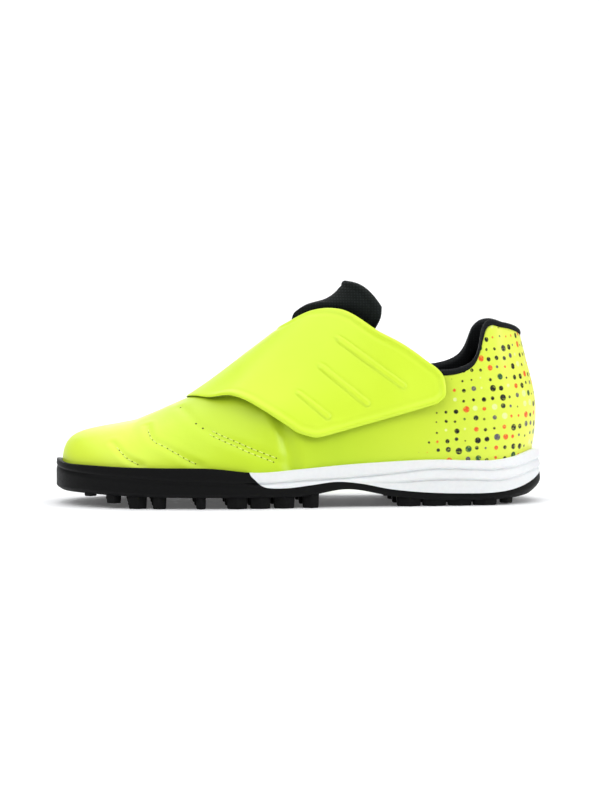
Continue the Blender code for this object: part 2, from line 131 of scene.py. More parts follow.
def start_material(name, sockets):
    """New material with values on its shader: gives it, its tree, shader and Object coordinates."""
    made = bpy.data.materials.new(name)
    made.use_nodes = True
    tree = made.node_tree
    shader = tree.nodes["Principled BSDF"]
    for socket, value in sockets.items():
        shader.inputs[socket].default_value = value
    return made, tree, shader, add(tree, "TexCoord")["Object"]


def dress(tree, shader, tone=None, gloss=None, skin=None):
    """Leads a shader by patterns: a tone between two hex colours, a gloss between two roughnesses,
    and a skin of some depth and strength."""
    goal = shader.inputs
    if tone:
        pair = {MIX: tone[0], DEEP: colour(tone[1]), LIGHT: colour(tone[2])}
        add(tree, "Mix", pair, {MIXED: goal["Base Color"]}, data_type="RGBA")
    if gloss:
        pair = {"Value": gloss[0], "To Min": gloss[1], "To Max": gloss[2]}
        add(tree, "MapRange", pair, {"Result": goal["Roughness"]})
    if skin:
        relief = {"Height": skin[0], "Distance": skin[1], "Strength": skin[2]}
        add(tree, "Bump", relief, {"Normal": goal["Normal"]})


print("neon in linear light:", [round(c, 3) for c in colour("E0FB42")])

# %% [markdown]
# ## Studio
# Product shoes stand on a sheet of seamless white paper that curves up behind them. The paper could
# be a plain plane, but then a horizon line would show, so it is a grid bent into a sweep.

# %% Paper sweep
SWEEP_WIDTH = 3.6
SWEEP_FRONT = -1.6
SWEEP_BEND = 2.4
SWEEP_RADIUS = 0.9
SWEEP_HEIGHT = 3.0
SWEEP_QUARTER = 0.5 * math.pi * SWEEP_RADIUS
PAPER_COLUMNS = 4
PAPER_ROWS = 160


def bend_paper(along_floor):
    """Place of the paper, back and up, at a way along it."""
    past = along_floor - SWEEP_BEND
    if past <= 0.0:
        return along_floor, 0.0
    if past < SWEEP_QUARTER:
        turn = past / SWEEP_RADIUS
        return SWEEP_BEND + SWEEP_RADIUS * math.sin(turn), SWEEP_RADIUS * (1.0 - math.cos(turn))
    return SWEEP_BEND + SWEEP_RADIUS, SWEEP_RADIUS + past - SWEEP_QUARTER


def into_scene(name, bm):
    """Object at the origin with the faces of a bmesh."""
    mesh = bpy.data.meshes.new(name)
    bm.to_mesh(mesh)
    made = bpy.data.objects.new(name, mesh)
    bpy.context.scene.collection.objects.link(made)
    return made


paper_bm = bmesh.new()
bmesh.ops.create_grid(paper_bm, x_segments=PAPER_COLUMNS, y_segments=PAPER_ROWS, size=0.5)
paper_length = SWEEP_BEND - SWEEP_FRONT + SWEEP_QUARTER + SWEEP_HEIGHT
for vert in paper_bm.verts:
    back, height = bend_paper(SWEEP_FRONT + (vert.co.y + 0.5) * paper_length)
    vert.co = Vector((vert.co.x * SWEEP_WIDTH, back, height))
paper = into_scene("paper_sweep", paper_bm)
paper_bm.free()
paper.data.shade_smooth()
print("paper sweep:", round(paper_length, 2), "m long")

# %% Paper material
PULP = 4.0 * MM
# Seamless background paper, machine made: white with a faint pulp cloud, no gloss, and lit a
# little from below, as on a light table, so that the shoe's own shadow stays grey
PAPER_SOCKETS = {
    "Roughness": 0.9,
    "Specular IOR Level": 0.2,
    "Emission Color": colour("FFFFFF"),
    "Emission Strength": 0.09,
}
paper_white, tree, shader, place = start_material("paper_seamless", PAPER_SOCKETS)
pulp = add(tree, "TexNoise", {"Vector": place, "Scale": 1.0 / PULP, "Detail": 3.0})["Fac"]
dress(tree, shader, tone=(pulp, "F2F3F5", "F6F7F8"))
paper.data.materials.append(paper_white)
print("paper pulp drawn at", PULP / MM, "mm")

# %% [markdown]
# ## Light
# A wide silk hangs over the shoe, two small soft boxes stand at its toe and heel, and one behind
# it. One bare lamp would throw hard shadows, so all are area lamps. A last one washes the wall of
# paper. The sky is dim, but white to the camera, so the picture is white past the paper's edge too.
# The Standard view transform keeps white paper white and neon dye bright, as the picture has them.

# %% Lights
def table(columns, *rows):
    """Rows of values under named columns."""
    kind = namedtuple("Row", columns)
    return [kind(*row) for row in rows]


SKY = 0.14
SOFT_BOXES = table(
    "name azimuth elevation distance size power",
    ("overhead_silk", -40.0, 82.0, 3.2, 5.6, 152.0),
    ("toe_box", -52.0, 34.0, 1.7, 0.7, 4.5),
    ("heel_box", 66.0, 28.0, 1.7, 0.7, 10.0),
    ("back_box", 172.0, 16.0, 1.8, 0.8, 5.0),
)
WALL_SPOT = Vector((0.0, 1.3, 2.6))
WALL_AIM = Vector((0.0, 3.3, 1.3))
WALL_SIZE = 2.5
WALL_POWER = 35.0


def hang_lamp(name, size, power, spot, aim):
    lamp = bpy.data.lights.new(name, "AREA")
    lamp.size = size
    lamp.energy = power
    hang(name, lamp, spot, aim).visible_camera = False


for row in SOFT_BOXES:
    spot = around_aim(row.azimuth, row.elevation, row.distance)
    hang_lamp(row.name, row.size, row.power, spot, AIM)
hang_lamp("wall_wash", WALL_SIZE, WALL_POWER, WALL_SPOT, WALL_AIM)
scene = bpy.context.scene
scene.view_settings.view_transform = "Standard"
scene.world = bpy.data.worlds.new("studio")
scene.world.use_nodes = True
tree = scene.world.node_tree
sky = tree.nodes["Background"].inputs
sky["Color"].default_value = colour("FFFFFF")
seen = add(tree, "LightPath")["Is Camera Ray"]
dim_or_white = {"Value": seen, "To Min": SKY, "To Max": 1.0}
add(tree, "MapRange", dim_or_white, {"Result": sky["Strength"]})
print("soft boxes:", [row.name for row in SOFT_BOXES], "and a wash on the wall")

# %% [markdown]
# ## The last
# A shoe is made round a last, a foot-shaped block. Every soft piece here lies on that one form. It
# could be sculpted, but then it would not be the form of the CAD model. So it is worked out from
# the same sections: they fan round the shoe from the toe tip over the outer side to the heel and
# back along the inner side.

# %% Sections of the last
LENGTH = 218.7 * MM
BALL_WIDTH = 81.0 * MM
INSTEP_HEIGHT = 82.0 * MM
HEEL_HEIGHT = 81.0 * MM

# centre, at: hundredths of the length, at the ridge and at the sole's edge. outer, inner: the edge,
# hundredths of the ball width. floor: height of the edge in mm. belly: swell of the wall in mm.
# belly_up, shoulder, shoulder_up: shares of the section's height, half width and height again.
# ridge: hundredths of the instep height. top_outer, top_inner: topline, hundredths of the heel
# height. throat: half width of the throat in mm.
SECTIONS = table(
    "name centre at outer inner floor belly belly_up shoulder shoulder_up ridge"
    " top_outer top_inner throat",
    ("toe tip", 17.1, 1.4, 4.9, 4.9, 14.0, 1.0, 0.88, 0.76, 0.76, 45.4, 120, 120, 0),
    ("toe front", 17.1, 3.1, -13.6, 22.2, 12.6, 0.9, 0.84, 0.75, 0.78, 45.4, 120, 120, 0),
    ("toe corner", 17.1, 7.7, -28.4, 33.3, 11.4, 1.0, 0.71, 0.71, 0.86, 45.4, 120, 120, 0),
    ("toe side", 17.1, 13.9, -38.3, 40.7, 10.7, 1.2, 0.60, 0.66, 0.96, 45.4, 120, 120, 0),
    ("ball front", 22.6, 21.7, -43.8, 44.8, 10.4, 1.3, 0.50, 0.62, 1.0, 51.8, 120, 120, 0),
    ("ball", 30.8, 30.8, -46.6, 46.3, 10.4, 1.4, 0.42, 0.56, 1.0, 62.3, 120, 120, 0),
    ("ball back", 39.9, 39.9, -46.3, 42.0, 10.6, 1.4, 0.36, 0.50, 1.0, 79.8, 122, 122, 8),
    ("vamp", 49.1, 49.1, -43.5, 36.4, 11.6, 1.5, 0.32, 0.47, 1.0, 98.0, 118, 118, 11.5),
    ("waist", 58.2, 58.2, -40.2, 32.1, 13.6, 1.6, 0.29, 0.50, 1.0, 115.0, 97.5, 97.5, 13),
    ("ankle front", 67.4, 67.4, -37.8, 30.9, 15.0, 1.9, 0.25, 0.56, 0.90, 138.0, 82, 82, 16),
    ("ankle", 75.6, 75.6, -36.3, 32.1, 15.6, 2.5, 0.20, 0.64, 0.60, 163.0, 73.2, 74.2, 14),
    ("heel side", 83.8, 83.8, -34.8, 32.8, 16.0, 3.2, 0.17, 0.82, 0.45, 189.0, 77.4, 79, 14),
    ("heel flank", 83.8, 88.0, -32.4, 30.9, 16.2, 3.8, 0.16, 0.89, 0.40, 200, 98.5, 95.8, 14),
    ("heel corner", 83.8, 91.8, -27.6, 26.4, 16.4, 4.6, 0.155, 0.93, 0.38, 207, 99, 100, 14),
    ("heel turn", 83.8, 95.6, -15.6, 15.0, 16.8, 6.6, 0.15, 0.93, 0.36, 207, 97.2, 97.4, 14),
    ("heel back", 83.8, 97.1, 0.0, 0.0, 17.0, 8.0, 0.15, 0.92, 0.36, 207, 95.2, 95.2, 14),
)
HEEL = len(SECTIONS) - 1
AROUND = 2 * HEEL
print("stations round the shoe:", AROUND)

# %% [markdown]
# ## Smooth rows of numbers
# A last has no corners, so its sizes must change smoothly from one section to the next. Straight
# steps between the rows would show as facets, so a cubic curve runs through them. We work on whole
# arrays of stations at once, and a skin of many thousand points takes a moment.

# %% Smooth rows
def along(share):
    return (np.asarray(share, float) / 100.0 - 0.5) * LENGTH


def column(rows, name):
    return np.array([getattr(row, name) for row in rows], float)


def loop(rows, outer, inner=None):
    """Closed row of numbers for the way round the shoe: toe, outer side, heel, inner side."""
    return np.concatenate([column(rows, outer), column(rows, inner or outer)[-2:0:-1]])


def smooth_between(p0, p1, p2, p3, t):
    """Smooth value between p1 and p2."""
    bend = 2.0 * p0 - 5.0 * p1 + 4.0 * p2 - p3
    twist = 3.0 * p1 - p0 - 3.0 * p2 + p3
    return 0.5 * (2.0 * p1 + t * (p2 - p0 + t * (bend + t * twist)))


def open_value(values, r):
    """Smooth value of an open row of numbers at r."""
    last = len(values) - 1
    i = np.clip(np.floor(r).astype(int), 0, last - 1)
    return smooth_between(*(values[np.clip(i + k, 0, last)] for k in (-1, 0, 1, 2)), r - i)


LOOPS = {name: loop(SECTIONS, name) for name in SECTIONS[0]._fields[1:]}
LOOPS["across"] = loop(SECTIONS, "outer", "inner")
LOOPS["top"] = loop(SECTIONS, "top_outer", "top_inner")


def at(name, s):
    """Smooth value of one column at the station s."""
    values = LOOPS[name]
    i = np.floor(s).astype(int)
    return smooth_between(*(values[(i + k) % AROUND] for k in (-1, 0, 1, 2)), s - i)


widest = np.max(LOOPS["inner"]) - np.min(LOOPS["outer"])
print("sole's edge:", round(widest / 100.0 * BALL_WIDTH / MM, 1), "mm across at most")

# %% [markdown]
# ## The form
# Each section of the last is one curve: it swells a little over the sole, turns in at the shoulder
# and ends at the ridge. A cubic with four handles draws that in one stroke, where arcs would need
# several that have to meet. Two numbers name every point: the station s round the shoe, and the
# share v of the way up.

# %% Form of the last
# lean of the ridge to the inner side at the toe, and where it ends and starts, hundredths of the length
TOE_LEAN = 3.0 * MM
LEAN_END = 55.0
LEAN_START = 25.0
# steps that measure a direction on the form, and the highest share where it is measured
STATION_STEP = 0.02
RISE_STEP = 0.01
RISE_LIMIT = 0.985


def feather(s):
    """Edge where the upper meets the sole, seen from above."""
    return np.stack([along(at("at", s)), at("across", s) / 100.0 * BALL_WIDTH], -1)


def held(name, s):
    """Value of a column, never below the one at the toe tip, so the ridge doesn't fold there."""
    return np.maximum(at(name, s), LOOPS[name][0])


def ridge_foot(s):
    """Point of the floor under the ridge."""
    lean = np.clip((LEAN_END - held("centre", s)) / (LEAN_END - LEAN_START), 0.0, 1.0)
    return np.stack([along(held("centre", s)), TOE_LEAN * lean], -1)


def form(s, v):
    """Points of the last: v runs up from the sole's edge to the ridge."""
    s, v = np.broadcast_arrays(np.asarray(s, float), np.asarray(v, float))
    edge, centre = feather(s), ridge_foot(s)
    reach = np.linalg.norm(edge - centre, axis=-1)
    floor = at("floor", s) * MM
    height = held("ridge", s) / 100.0 * INSTEP_HEIGHT - floor
    low, swell, high, top = (1 - v) ** 3, 3 * v * (1 - v) ** 2, 3 * v * v * (1 - v), v**3
    belly = 1.0 + at("belly", s) * MM / np.maximum(reach, MM)
    share = low + swell * belly + high * at("shoulder", s)
    rise = swell * at("belly_up", s) + high * at("shoulder_up", s) + top
    level = centre + (edge - centre) * share[..., None]
    return np.concatenate([level, (floor + height * rise)[..., None]], -1)


def normal(s, v):
    """Outward directions of the form."""
    v = np.minimum(v, RISE_LIMIT)
    way_round = form(s + STATION_STEP, v) - form(s - STATION_STEP, v)
    way_up = form(s, v + RISE_STEP) - form(s, np.maximum(v - RISE_STEP, 0.0))
    out = np.cross(way_round, way_up)
    return out / np.linalg.norm(out, axis=-1)[..., None]


def lifted(s, v, lift):
    return form(s, v) + normal(s, v) * np.asarray(lift, float)[..., None]


print("ridge at the toe:", round(float(form(0.0, 1.0)[2]) / MM, 1), "mm up")

# %% [markdown]
# ## Places on the form
# A maker marks a last with a ruler: so far from the toe, so high above the floor. The form is drawn
# by s and v, so those marks have to be turned into s and v. A formula for that would be long.
# Halving the gap round the answer is short, works for any shape, and does all points at once.

# %% Finding places on the form
HALVINGS = 36
THROAT_FROM = 0.4
NARROWEST_THROAT = 0.3 * MM
FIRST_CROSSING = 4.0
LAST_CROSSING = 11.0


def solve(below, low, high):
    """Halves the gap between two rows of numbers round the place where below() stops holding."""
    for _ in range(HALVINGS):
        mid = 0.5 * (low + high)
        holds = below(mid)
        low, high = np.where(holds, mid, low), np.where(holds, high, mid)
    return low


def rise_to(s, height):
    """Share v at which the form reaches a height."""
    zero = np.zeros(np.shape(s))
    return solve(lambda v: form(s, v)[..., 2] < height, zero, zero + 1.0)


def topline_share(s):
    """Share v where the upper ends: at the topline or beside the throat."""
    each, places = np.unique(s, return_inverse=True)
    half = at("throat", each) * MM
    foot = ridge_foot(each)
    one = np.ones(len(each))

    def wider(v):
        return np.linalg.norm(form(each, v)[..., :2] - foot, axis=-1) > half

    beside = np.where(half > NARROWEST_THROAT, solve(wider, THROAT_FROM * one, one), 1.0)
    return np.minimum(rise_to(each, at("top", each) / 100.0 * HEEL_HEIGHT), beside)[places]


def station(share):
    """Station of the outer side whose section crosses the ridge at this share of the length."""
    one = np.ones(np.shape(share))
    return solve(lambda s: at("centre", s) < share, FIRST_CROSSING * one, LAST_CROSSING * one)


def across_form(share, q, lift):
    """Points at q = 0 outer edge of the sole, 1 ridge, 2 inner edge."""
    s = station(share)
    return lifted(np.where(q > 1.0, AROUND - s, s), np.where(q > 1.0, 2.0 - q, q), lift)


def on_side(rows, side):
    """Station and share v of listed rows with at and height; side -1 is the outer one."""
    def turned(s):
        return s if side < 0 else AROUND - s

    def place(s):
        return form(turned(s), rise_to(turned(s), height))[..., 0]

    height = column(rows, "height") * MM
    x = along(column(rows, "at"))
    zero = np.zeros(len(rows))
    s = turned(solve(lambda s: place(s) < x, zero, zero + HEEL))
    return s, rise_to(s, height)


back_share = float(topline_share(np.array([float(HEEL)]))[0])
print("topline at the back:", round(back_share, 3), "of the way to the ridge")

# %% [markdown]
# ## One sheet, many shapes
# Nearly every piece of a shoe is cut from a flat sheet. So is ours: Blender's grid operator makes a
# flat sheet of quads, and a shape function then puts each of its points on the shoe. The faces could
# be listed one by one, but the operator makes them for us. A chart can keep the sheet's own measures
# as a UV map, for printed patterns.

# %% Sheets
MERGE = 0.004 * MM
DEGENERATE = 0.002 * MM


def sheet(bm, columns, rows, shape, chart=None):
    """Adds a flat grid to bm and lets shape(u, t), u and t from 0 to 1, put its points in place."""
    made = bmesh.ops.create_grid(bm, x_segments=columns, y_segments=rows, size=0.5)["verts"]
    flat = np.array([vert.co[:2] for vert in made])
    u, t = ((flat - flat.min(0)) / (flat.max(0) - flat.min(0))).T
    if chart:
        charted = dict(zip(made, chart(u, t)))
        layer = bm.loops.layers.uv.new("UVMap")
        for face in {face for vert in made for face in vert.link_faces}:
            for corner in face.loops:
                corner[layer].uv = charted[corner.vert]
    for vert, point in zip(made, shape(u, t)):
        vert.co = point


def close_seams(bm):
    """Joins points that lie on each other and turns all faces outwards."""
    bmesh.ops.remove_doubles(bm, verts=bm.verts, dist=MERGE)
    bmesh.ops.dissolve_degenerate(bm, edges=bm.edges, dist=DEGENERATE)
    bmesh.ops.recalc_face_normals(bm, faces=bm.faces)


def piece(name, bm, materials, node=None):
    """Object of the shoe, riding on its body; it may replace a CAD node."""
    made = into_scene(name, bm)
    bm.free()
    made.data.shade_smooth()
    for material in materials:
        made.data.materials.append(material)
    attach(made, "root")
    if node:
        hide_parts(node)
    print(name, "has", len(made.data.polygons), "faces")
    return made


print("points closer than", MERGE / MM, "mm are joined")

# %% [markdown]
# ## Soft edges
# Leather and foam have no sharp edges: a border rolls, a seam sinks, a pad swells. Bevels could
# round an edge, but they know nothing of a seam in the middle of a sheet. So these small functions
# shape by distance: how far is a point from a line, and how does a soft step or a hump follow that?

# %% Soft edges
SHORTEST = 1e-12


def soft_step(x):
    x = np.clip(x, 0.0, 1.0)
    return x * x * (3.0 - 2.0 * x)


def hump(x):
    """1 at 0, falling off smoothly on both sides."""
    return np.exp(-(x**2))


def between(share, start, end):
    return start * (1.0 - share) + end * share


def lengths(line):
    """Way along a line at each of its points."""
    return np.concatenate([[0.0], np.cumsum(np.linalg.norm(np.diff(line, axis=0), axis=1))])


def distance_to(points, line):
    """Distance of each point to a line of straight stretches."""
    nearest = np.full(len(points), np.inf)
    for start, end in zip(line, line[1:]):
        way = end - start
        share = np.clip((points - start) @ way / max(way @ way, SHORTEST), 0.0, 1.0)
        gap = np.linalg.norm(points - start - share[:, None] * way, axis=1)
        nearest = np.minimum(nearest, gap)
    return nearest


print("a soft step is", float(soft_step(0.25)), "high at a quarter of its way")

# %% [markdown]
# ## Synthetic leather
# The upper is polyurethane leather: a dyed plastic skin, embossed with a fine grain, on a textile
# back. It looks smooth and bright, with soft highlights. We could use one flat colour, but a faint
# cloudiness of the dye, a grain that breaks the highlight and a little clear coat make it a
# material and not a paint. The real grain, about 0.5 mm, is drawn coarser to show.

# %% Grain of the leather
GRAIN = 1.3 * MM
GRAIN_FOLDS = 0.3
GRAIN_DEPTH = 0.05 * MM
CLOUD = 26.0 * MM
# Polyurethane leather, coated and embossed: neon dye with a soft sheen that the grain breaks up
LEATHER_SOCKETS = {
    "IOR": 1.5,
    "Specular IOR Level": 0.35,
    "Coat Weight": 0.06,
    "Coat Roughness": 0.3,
}


def leather_grain(tree, shader, place, depth):
    """Embossed grain and slow changes of gloss; gives the cloud that leads them."""
    cells = add(tree, "TexVoronoi", {"Vector": place, "Scale": 1.0 / GRAIN}, feature="SMOOTH_F1")
    folds = add(tree, "TexNoise", {"Vector": place, "Scale": GRAIN_FOLDS / GRAIN, "Detail": 3.0})
    height = add(tree, "Math", {0: cells["Distance"], 1: folds["Fac"]}, operation="ADD")[0]
    cloud = add(tree, "TexNoise", {"Vector": place, "Scale": 1.0 / CLOUD, "Detail": 2.0})["Fac"]
    dress(tree, shader, gloss=(cloud, 0.34, 0.48), skin=(height, depth, 0.5))
    return cloud


print("grain drawn at", GRAIN / MM, "mm")

# %% [markdown]
# ## Dye and painted shade of the upper
# The neon dye is palest at the heel and deepest under the strap, and it brightens again to the toe.
# Part of that is the dye's own fade; part is painted light at the heel and painted shade under the
# strap and over the vamp. Lamps alone could make that difference, but not without burning out the
# paper. So a colour ramp runs along the upper's own chart: metres round from the back of the heel,
# and metres up.

# %% Dye and painted shade of the upper
CLOUDINESS = 0.05
DYE_AND_SHADE_SPAN = 240.0 * MM
# ramp stops: the dye's fade, with painted light at the heel end and painted shade under the strap and
# on the vamp
DYES_AND_PAINTED_SHADE = [
    (0.0, "FBFD70"), (0.16, "E6F850"), (0.3, "D6F03C"), (0.45, "C5E430"),
    (0.535, "C8E630"), (0.56, "CCEA30"), (0.72, "CEEC32"), (0.86, "E3FB48"),
]
upper_leather, tree, shader, place = start_material("polyurethane_leather_printed", LEATHER_SOCKETS)
cloud = leather_grain(tree, shader, place, GRAIN_DEPTH)
chart = add(tree, "UVMap", uv_map="UVMap")["UV"]
split = add(tree, "SeparateXYZ", {"Vector": chart})
from_back = add(tree, "Math", {0: split["X"]}, operation="ABSOLUTE")[0]
dye_and_shade_place = add(tree, "MapRange", {"Value": from_back, "From Max": DYE_AND_SHADE_SPAN})["Result"]
# this colour carries the painted light and shade of the ramp along with the dye
neon = add(tree, "ValToRGB", {"Fac": dye_and_shade_place}, stops=DYES_AND_PAINTED_SHADE)["Color"]
clouded = {MIX: CLOUDINESS, DEEP: neon, LIGHT: cloud}
ground = add(tree, "Mix", clouded, data_type="RGBA", blend_type="MULTIPLY")[MIXED]
print("dyes along the upper:", len(DYES_AND_PAINTED_SHADE))

# %% [markdown]
# ## Printed dots at the heel
# The heel carries a plain pattern of small dots in several inks, in even rows, smaller towards the
# front. They could be modelled, but a print has no thickness, so it belongs in the material. A cell
# texture with little randomness is a grid: each cell's distance draws a round dot, and its random
# colour picks size and ink.

# %% Grid of dots
DOT_PITCH = 4.4 * MM
DOT_TURN = math.radians(-3.0)
DOT_SHAKE = 0.32
DOT_SMALL = 0.15
DOT_LARGE = 0.41
turned = {"Rotation": (0.0, 0.0, DOT_TURN), "Scale": (1.0 / DOT_PITCH, 1.0 / DOT_PITCH, 1.0)}
cell_place = add(tree, "Mapping", {"Vector": chart, **turned})["Vector"]
grid = {"Vector": cell_place, "Scale": 1.0, "Randomness": DOT_SHAKE}
cells = add(tree, "TexVoronoi", grid, voronoi_dimensions="2D")
chance = add(tree, "SeparateColor", {"Color": cells["Color"]})
size_range = {"Value": chance["Red"], "To Min": DOT_SMALL, "To Max": DOT_LARGE}
dot_size = add(tree, "MapRange", size_range)["Result"]
print("dots", DOT_PITCH / MM, "mm apart")

# %% Where the dots fade
DOT_BORDER = 0.035
DOTS_SLANT = 0.35
DOTS_START = 87.0 * MM
DOTS_FULL = 64.0 * MM
DOTS_FADE = 72.0 * MM
DOTS_TOP = 92.0 * MM
slant = {0: split["Y"], 1: DOTS_SLANT, 2: from_back}
slanted = add(tree, "Math", slant, operation="MULTIPLY_ADD")[0]
fade_front = {"Value": slanted, "From Min": DOTS_START, "From Max": DOTS_FULL}
front = add(tree, "MapRange", fade_front, interpolation_type="SMOOTHSTEP")["Result"]
fade_top = {"Value": split["Y"], "From Min": DOTS_TOP, "From Max": DOTS_FADE}
high = add(tree, "MapRange", fade_top)["Result"]
room = add(tree, "Math", {0: front, 1: high}, operation="MULTIPLY")[0]
shrunk = {0: dot_size, 1: room, 2: -2.0 * DOT_BORDER}
radius = add(tree, "Math", shrunk, operation="MULTIPLY_ADD")[0]
inside = add(tree, "Math", {0: radius, 1: cells["Distance"]}, operation="SUBTRACT")[0]
border_range = {"Value": inside, "From Min": -DOT_BORDER, "From Max": DOT_BORDER}
dot = add(tree, "MapRange", border_range)["Result"]
print("dots start", DOTS_START / MM, "mm round from the back of the heel")

# %% Ink of the dots
INK_SPECK = 1.1 * MM
INKS = [
    (0.0, "121416"), (0.46, "F1622A"), (0.66, "5E5A6A"),
    (0.74, "1F5A3A"), (0.79, "EEF9A6"), (0.93, "2C352B"),
]
ink = add(tree, "ValToRGB", {"Fac": chance["Green"]}, stops=INKS)["Color"]
ink.node.color_ramp.interpolation = "CONSTANT"
# a screen print lets the ground through in specks, real ones about 0.4 mm, drawn coarser to show
speck = add(tree, "TexNoise", {"Vector": chart, "Scale": 1.0 / INK_SPECK, "Detail": 2.0})["Fac"]
specked = {"Value": speck, "From Min": 0.5, "From Max": 0.72, "To Min": 1.0, "To Max": 0.5}
cover = add(tree, "MapRange", specked)["Result"]
laid = add(tree, "Math", {0: dot, 1: cover}, operation="MULTIPLY")[0]
base = shader.inputs["Base Color"]
add(tree, "Mix", {MIX: laid, DEEP: ground, LIGHT: ink}, {MIXED: base}, data_type="RGBA")
print("dot inks:", len(INKS))

# %% [markdown]
# ## Lining
# Inside, the shoe is lined with brushed polyester knit: black, matt, with a faint nap that catches
# light at the edge. Its loops could be modelled, but they are about 0.6 mm apart and would need
# millions of faces. Two crossed waves make them in the material, drawn at twice their size to show.

# %% Cloth materials
LOOP = 1.2 * MM
STREAK = 5.0 * LOOP
# width of one band of the wave texture at scale 1
WAVE_BAND = math.tau / 20.0
KNIT_SOCKETS = {
    "IOR": 1.46,
    "Roughness": 0.88,
    "Specular IOR Level": 0.2,
    "Sheen Roughness": 0.45,
}


def knit(name, deep, light, sheen, depth):
    """Knitted polyester: loops from two crossed waves, and a slow change of colour."""
    made, tree, shader, place = start_material(name, {**KNIT_SOCKETS, "Sheen Weight": sheen})
    wave = {"Vector": place, "Scale": WAVE_BAND / LOOP, "Distortion": 0.6, "Detail Scale": 2.0}
    rows = [add(tree, "TexWave", wave, bands_direction=way)["Fac"] for way in ("X", "Z")]
    loops = add(tree, "Math", {0: rows[0], 1: rows[1]}, operation="MULTIPLY")[0]
    streak = add(tree, "TexNoise", {"Vector": place, "Scale": 1.0 / STREAK, "Detail": 3.0})["Fac"]
    streaked = add(tree, "Math", {0: loops, 1: streak}, operation="MULTIPLY")[0]
    dress(tree, shader, tone=(streaked, deep, light), skin=(loops, depth, 0.8))
    return made


# Polyester knit, brushed: deep black with a thin grey nap
lining_knit = knit("polyester_knit_brushed", "141618", "24272A", 0.02, 0.12 * MM)
# Polyester air mesh, knitted with a foam back: black with a cool green cast
tongue_mesh = knit("polyester_air_mesh", "0D1211", "242D2B", 0.06, 0.2 * MM)
print("knit loops drawn at", LOOP / MM, "mm")

# %% [markdown]
# ## Seams of the vamp
# Short seams sweep back and down over the vamp: two on each side, and a third on the outer side that
# is sewn twice. Behind it, the vamp ends in a soft fold. A seam pulls the skin in: a trough with a
# low swell beside it. Bump could fake that, but then the edge of the shoe would stay straight. We
# lay the lines down in the shoe's own sizes, and the skin is shaped by its distance to them.

# %% Seam and fold lines
def spots(*rows):
    """Places on the side of the shoe: hundredths of the length, and mm above the floor."""
    return table("at height", *rows)


TOE_SEAM = spots((11.4, 28.2), (12.6, 25.6), (14.2, 21.9), (17.0, 18.8))
BALL_SEAM = spots((18.4, 35.4), (19.2, 30.2), (22.0, 26.7), (25.8, 21.9), (28.9, 18.8))
VAMP_HOLES = spots((25.2, 43.1), (28.1, 36.8), (29.4, 34.9))
VAMP_SEAM = spots((29.8, 34.4), (32.7, 31.1), (38.2, 25.8), (44.8, 20.0))
STRAP_TACKS = spots((57.4, 81.3), (52.2, 74.1), (42.7, 60.7))
FOLD = spots((44.6, 40.0), (45.9, 30.0), (46.9, 18.0))
# depth and width of the troughs that both sides have
PULLS = [(TOE_SEAM, 0.45 * MM, 1.3 * MM), (BALL_SEAM, 0.45 * MM, 1.4 * MM), (FOLD, 1.4 * MM, 2.6 * MM)]
LINE_POINTS = 60


def line_on_side(rows, side):
    """Smooth line over the form through a few listed points."""
    r = np.linspace(0.0, len(rows) - 1.0, LINE_POINTS)
    return form(*(open_value(values, r) for values in on_side(rows, side)))


TROUGHS = table(
    "line depth width",
    *[(line_on_side(rows, side), *pull) for side in (-1, 1) for rows, *pull in PULLS],
    (line_on_side(VAMP_HOLES + VAMP_SEAM[1:], -1), 0.35 * MM, 1.8 * MM),
)
print("troughs:", len(TROUGHS))

# %% [markdown]
# ## The upper
# The upper is one shell of synthetic leather, lasted tight over the foot form and open at the throat
# and collar. A solid block could be hollowed out, but the real thing is a sheet, so we lay a sheet
# round the form, pull it in along the seams, let it waver a little, and give it its thickness
# inwards with Solidify. At the heel it swells over the counter, and it ends where the collar rolls.

# %% Edge and relief of the skin
WAVER = 0.12 * MM
WAVER_SIZE = 14.0 * MM
# swell beside a trough: share of its depth, and place and width in widths of the trough
BESIDE = 0.35
BESIDE_AT = 2.2
BESIDE_WIDE = 1.1
COLLAR_ROLL = 2.0 * MM
ROLL_FROM = 8.5
ROLL_GROWS = 2.0
HEEL_TAB = 0.55
TAB_ROUND = 1.1


def relief(points):
    """How far the skin stands out of the form at each point."""
    lift = np.array([noise.noise(Vector(point / WAVER_SIZE)) for point in points]) * WAVER
    for trough in TROUGHS:
        gap = distance_to(points, trough.line) / trough.width
        lift -= trough.depth * hump(gap)
        lift += BESIDE * trough.depth * hump((gap - BESIDE_AT) / BESIDE_WIDE)
    return lift


def rolled(s):
    """How far the collar rolls over the topline: 0 before the ankle, 1 behind it, more at the tab."""
    tab = 1.0 + HEEL_TAB * hump((s - HEEL) / TAB_ROUND)
    return tab * soft_step((np.minimum(s, AROUND - s) - ROLL_FROM) / ROLL_GROWS)


def upper_edge(s):
    """Share v where the skin ends; behind the ankle it leaves room for the collar's roll."""
    full = topline_share(s)
    shorter = rise_to(s, form(s, full)[:, 2] - COLLAR_ROLL)
    return full + rolled(s) * (shorter - full)


print("collar rolls over by", COLLAR_ROLL / MM, "mm, more at the heel tab")

# %% Upper shell
UPPER_COLUMNS = 420
UPPER_ROWS = 84
UPPER_WALL = 1.8 * MM
RIDGE_CALM = 0.06
HEEL_SWELL = 1.5 * MM
SWELL_ROUND = 2.0
SWELL_AT = 46.0 * MM
SWELL_UP = 16.0 * MM
CHART_RISE = 0.3
CHART_STEPS = 4 * UPPER_COLUMNS + 1


def upper_skin(u, t):
    s = AROUND * u
    v = t * upper_edge(s)
    points = form(s, v)
    swell = hump((s - HEEL) / SWELL_ROUND) * hump((points[:, 2] - SWELL_AT) / SWELL_UP)
    calm = soft_step((1.0 - v) / RIDGE_CALM)
    return lifted(s, v, relief(points) * calm + HEEL_SWELL * swell)


